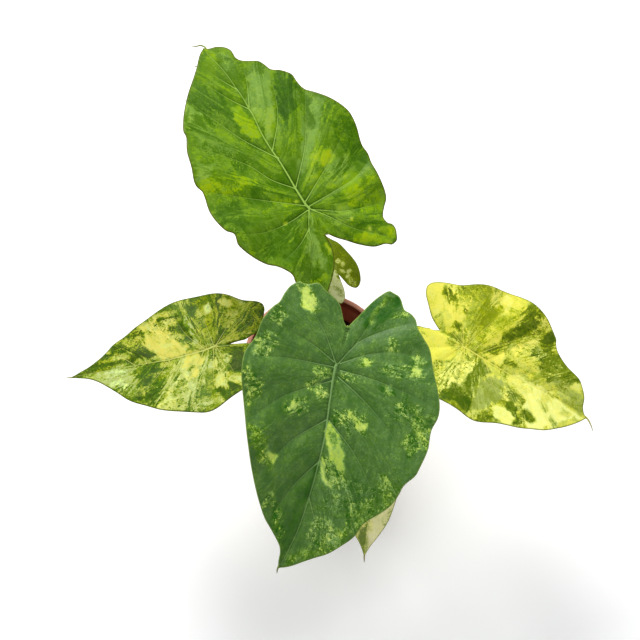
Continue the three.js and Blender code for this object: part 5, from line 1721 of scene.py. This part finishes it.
# What lies on the soil: its finish, pieces per square metre, half widths of the smallest and of
# the largest piece, depth of the dents, detail, how far they are lifted, seed.
STREWN = {
    "soil_crumbs": (
        soil_material("peat_crumbs", [(22, 15, 11), (38, 26, 19), (58, 40, 29), (80, 58, 42)]),
        3.4e5, 0.5, 1.5, 0.9, 1, 0.2, 4,
    ),
    "soil_bark": (
        soil_material("bark_chips", [(50, 30, 20), (84, 54, 36), (120, 84, 58), (156, 120, 88)]),
        2.6e4, 0.9, 2.6, 1.0, 1, 0.3, 9,
    ),
    "soil_perlite": (
        soil_material("perlite", [(206, 202, 192), (226, 223, 214), (240, 238, 232)]),
        1.5e4, 0.7, 1.5, 0.9, 2, 0.3, 17,
    ),
}
soil = grown(
    "soil_fill", TURNED, profile_mesh("soil_profile", SOIL_PROFILE, 0.9), sides=220,
    lump_height=0.0026, lump_scale=190.0, lumps_from=0.068, sharp_angle=3.2,
    material=soil_material("damp_earth", EARTH_PAINTS),
)
ready(facing_out(soil), "soil")
SCATTER = scatter_tree()
for label, (finish, density, low, high, dents, detail, lift, seed) in STREWN.items():
    piece = grown(
        label, SCATTER, soil.data, density=density, smallest=(low * MM, low * MM, low * MM * 0.6),
        largest=(high * MM, high * MM, high * MM * 0.7), dents=dents * MM, detail=detail,
        lift=lift * MM, seed=seed, material=finish,
    )
    ready(piece, "soil")


# Stem and roots
# The stem's radius at some heights, before rings are cut into it.
STEM_HEIGHTS = [46, 48, 55, 64, 73, 79, 85, 89, 90]
STEM_RADII = [0, 6.9, 10.9, 11.5, 10.7, 9.2, 6.3, 2.9, 0]
STEM_STEP, RING_DEPTH = 0.35, 0.45
ROOT_COUNT, ROOT_POINTS = 5, 40


def root_line(number):
    """A root's middle line: out from the stem, then down into the soil."""
    angle = (number + 0.3) / ROOT_COUNT * 2 * math.pi + 0.4 * math.sin(3 * number)
    out, up = np.array([math.cos(angle), math.sin(angle), 0]), np.array([0, 0, 1.0])
    reach = 24 + 5 * math.cos(2.4 * number)
    return bezier(
        out * 5 + up * 60, out * 16 + up * 61, out * reach + up * 54, out * (reach + 3) + up * 24,
        ROOT_POINTS,
    )


stem_bark = stem_material()
heights = np.arange(STEM_HEIGHTS[0], STEM_HEIGHTS[-1] + 0.01, STEM_STEP)
radii = np.interp(heights, STEM_HEIGHTS, STEM_RADII)
ripple = np.abs(np.sin(heights * 1.25 + 0.4 * np.sin(heights))) ** 0.5
rings = RING_DEPTH * ripple * eased(radii, 1, 6)
stem = grown(
    "stem_base_corm", TURNED, profile_mesh("stem_profile", np.column_stack([radii - rings, heights])),
    sides=96, lump_height=0.0012, lump_scale=160.0, sharp_angle=3.2, material=stem_bark,
)
ready(facing_out(stem), "stem_base")
root_lines = [root_line(number) * MM for number in range(ROOT_COUNT)]
root_radii = [np.linspace(2.2, 1.1, ROOT_POINTS) * MM] * ROOT_COUNT
roots = grown(
    "stem_base_roots", rod_tree(), line_mesh("root_lines", root_lines, thick=root_radii),
    sides=12, gnarl=0.0006, material=stem_bark,
)
ready(roots, "stem_base")


# Light and floor
def soft_light(name, place, size, power):
    """A wide lamp at this place, in metres, that shines on the middle of the plant."""
    data = bpy.data.lights.new(name, "AREA")
    data.shape, data.size, data.size_y = "RECTANGLE", size[0], size[1]
    data.energy = power
    lamp = bpy.data.objects.new(name, data)
    lamp.location = place
    aim = Vector((0, 0, 0.15)) - Vector(place)
    lamp.rotation_euler = aim.to_track_quat("-Z", "Y").to_euler()
    scene.collection.objects.link(lamp)


def pale_floor():
    """A wide floor, nearly white, with a little light of its own to stay pale in the shade."""
    reach = 30
    mesh = bpy.data.meshes.new("studio_floor")
    corners = [(-reach, -reach, 0), (reach, -reach, 0), (reach, reach, 0), (-reach, reach, 0)]
    mesh.from_pydata(corners, [], [(0, 1, 2, 3)])
    material, net, shader = new_material(
        "pale_floor", Roughness=0.9, Emission_Color=(1, 1, 1, 1), Emission_Strength=0.16)
    cloud = net.noise(net.out("ShaderNodeTexCoord", pick="Object"), 3.0, 3.0)
    tint = net.ramp(cloud, [(0.3, paint(244, 244, 244)), (0.7, paint(248, 248, 248))])
    net.give(shader.inputs["Base Color"], tint)
    mesh.materials.append(material)
    ground = bpy.data.objects.new("studio_floor", mesh)
    scene.collection.objects.link(ground)
    return ground


soft_light("back_softbox", (-0.4, 1.1, 1.3), (0.9, 0.7), 33)
soft_light("front_fill", (0.9, -1.3, 1.2), (1.4, 1.2), 5)
world = bpy.data.worlds.new("pale_studio")
world.use_nodes = True
world.node_tree.nodes["Background"].inputs["Color"].default_value = (0.96, 0.98, 1.0, 1)
world.node_tree.nodes["Background"].inputs["Strength"].default_value = 0.48
scene.world = world
floor = pale_floor()
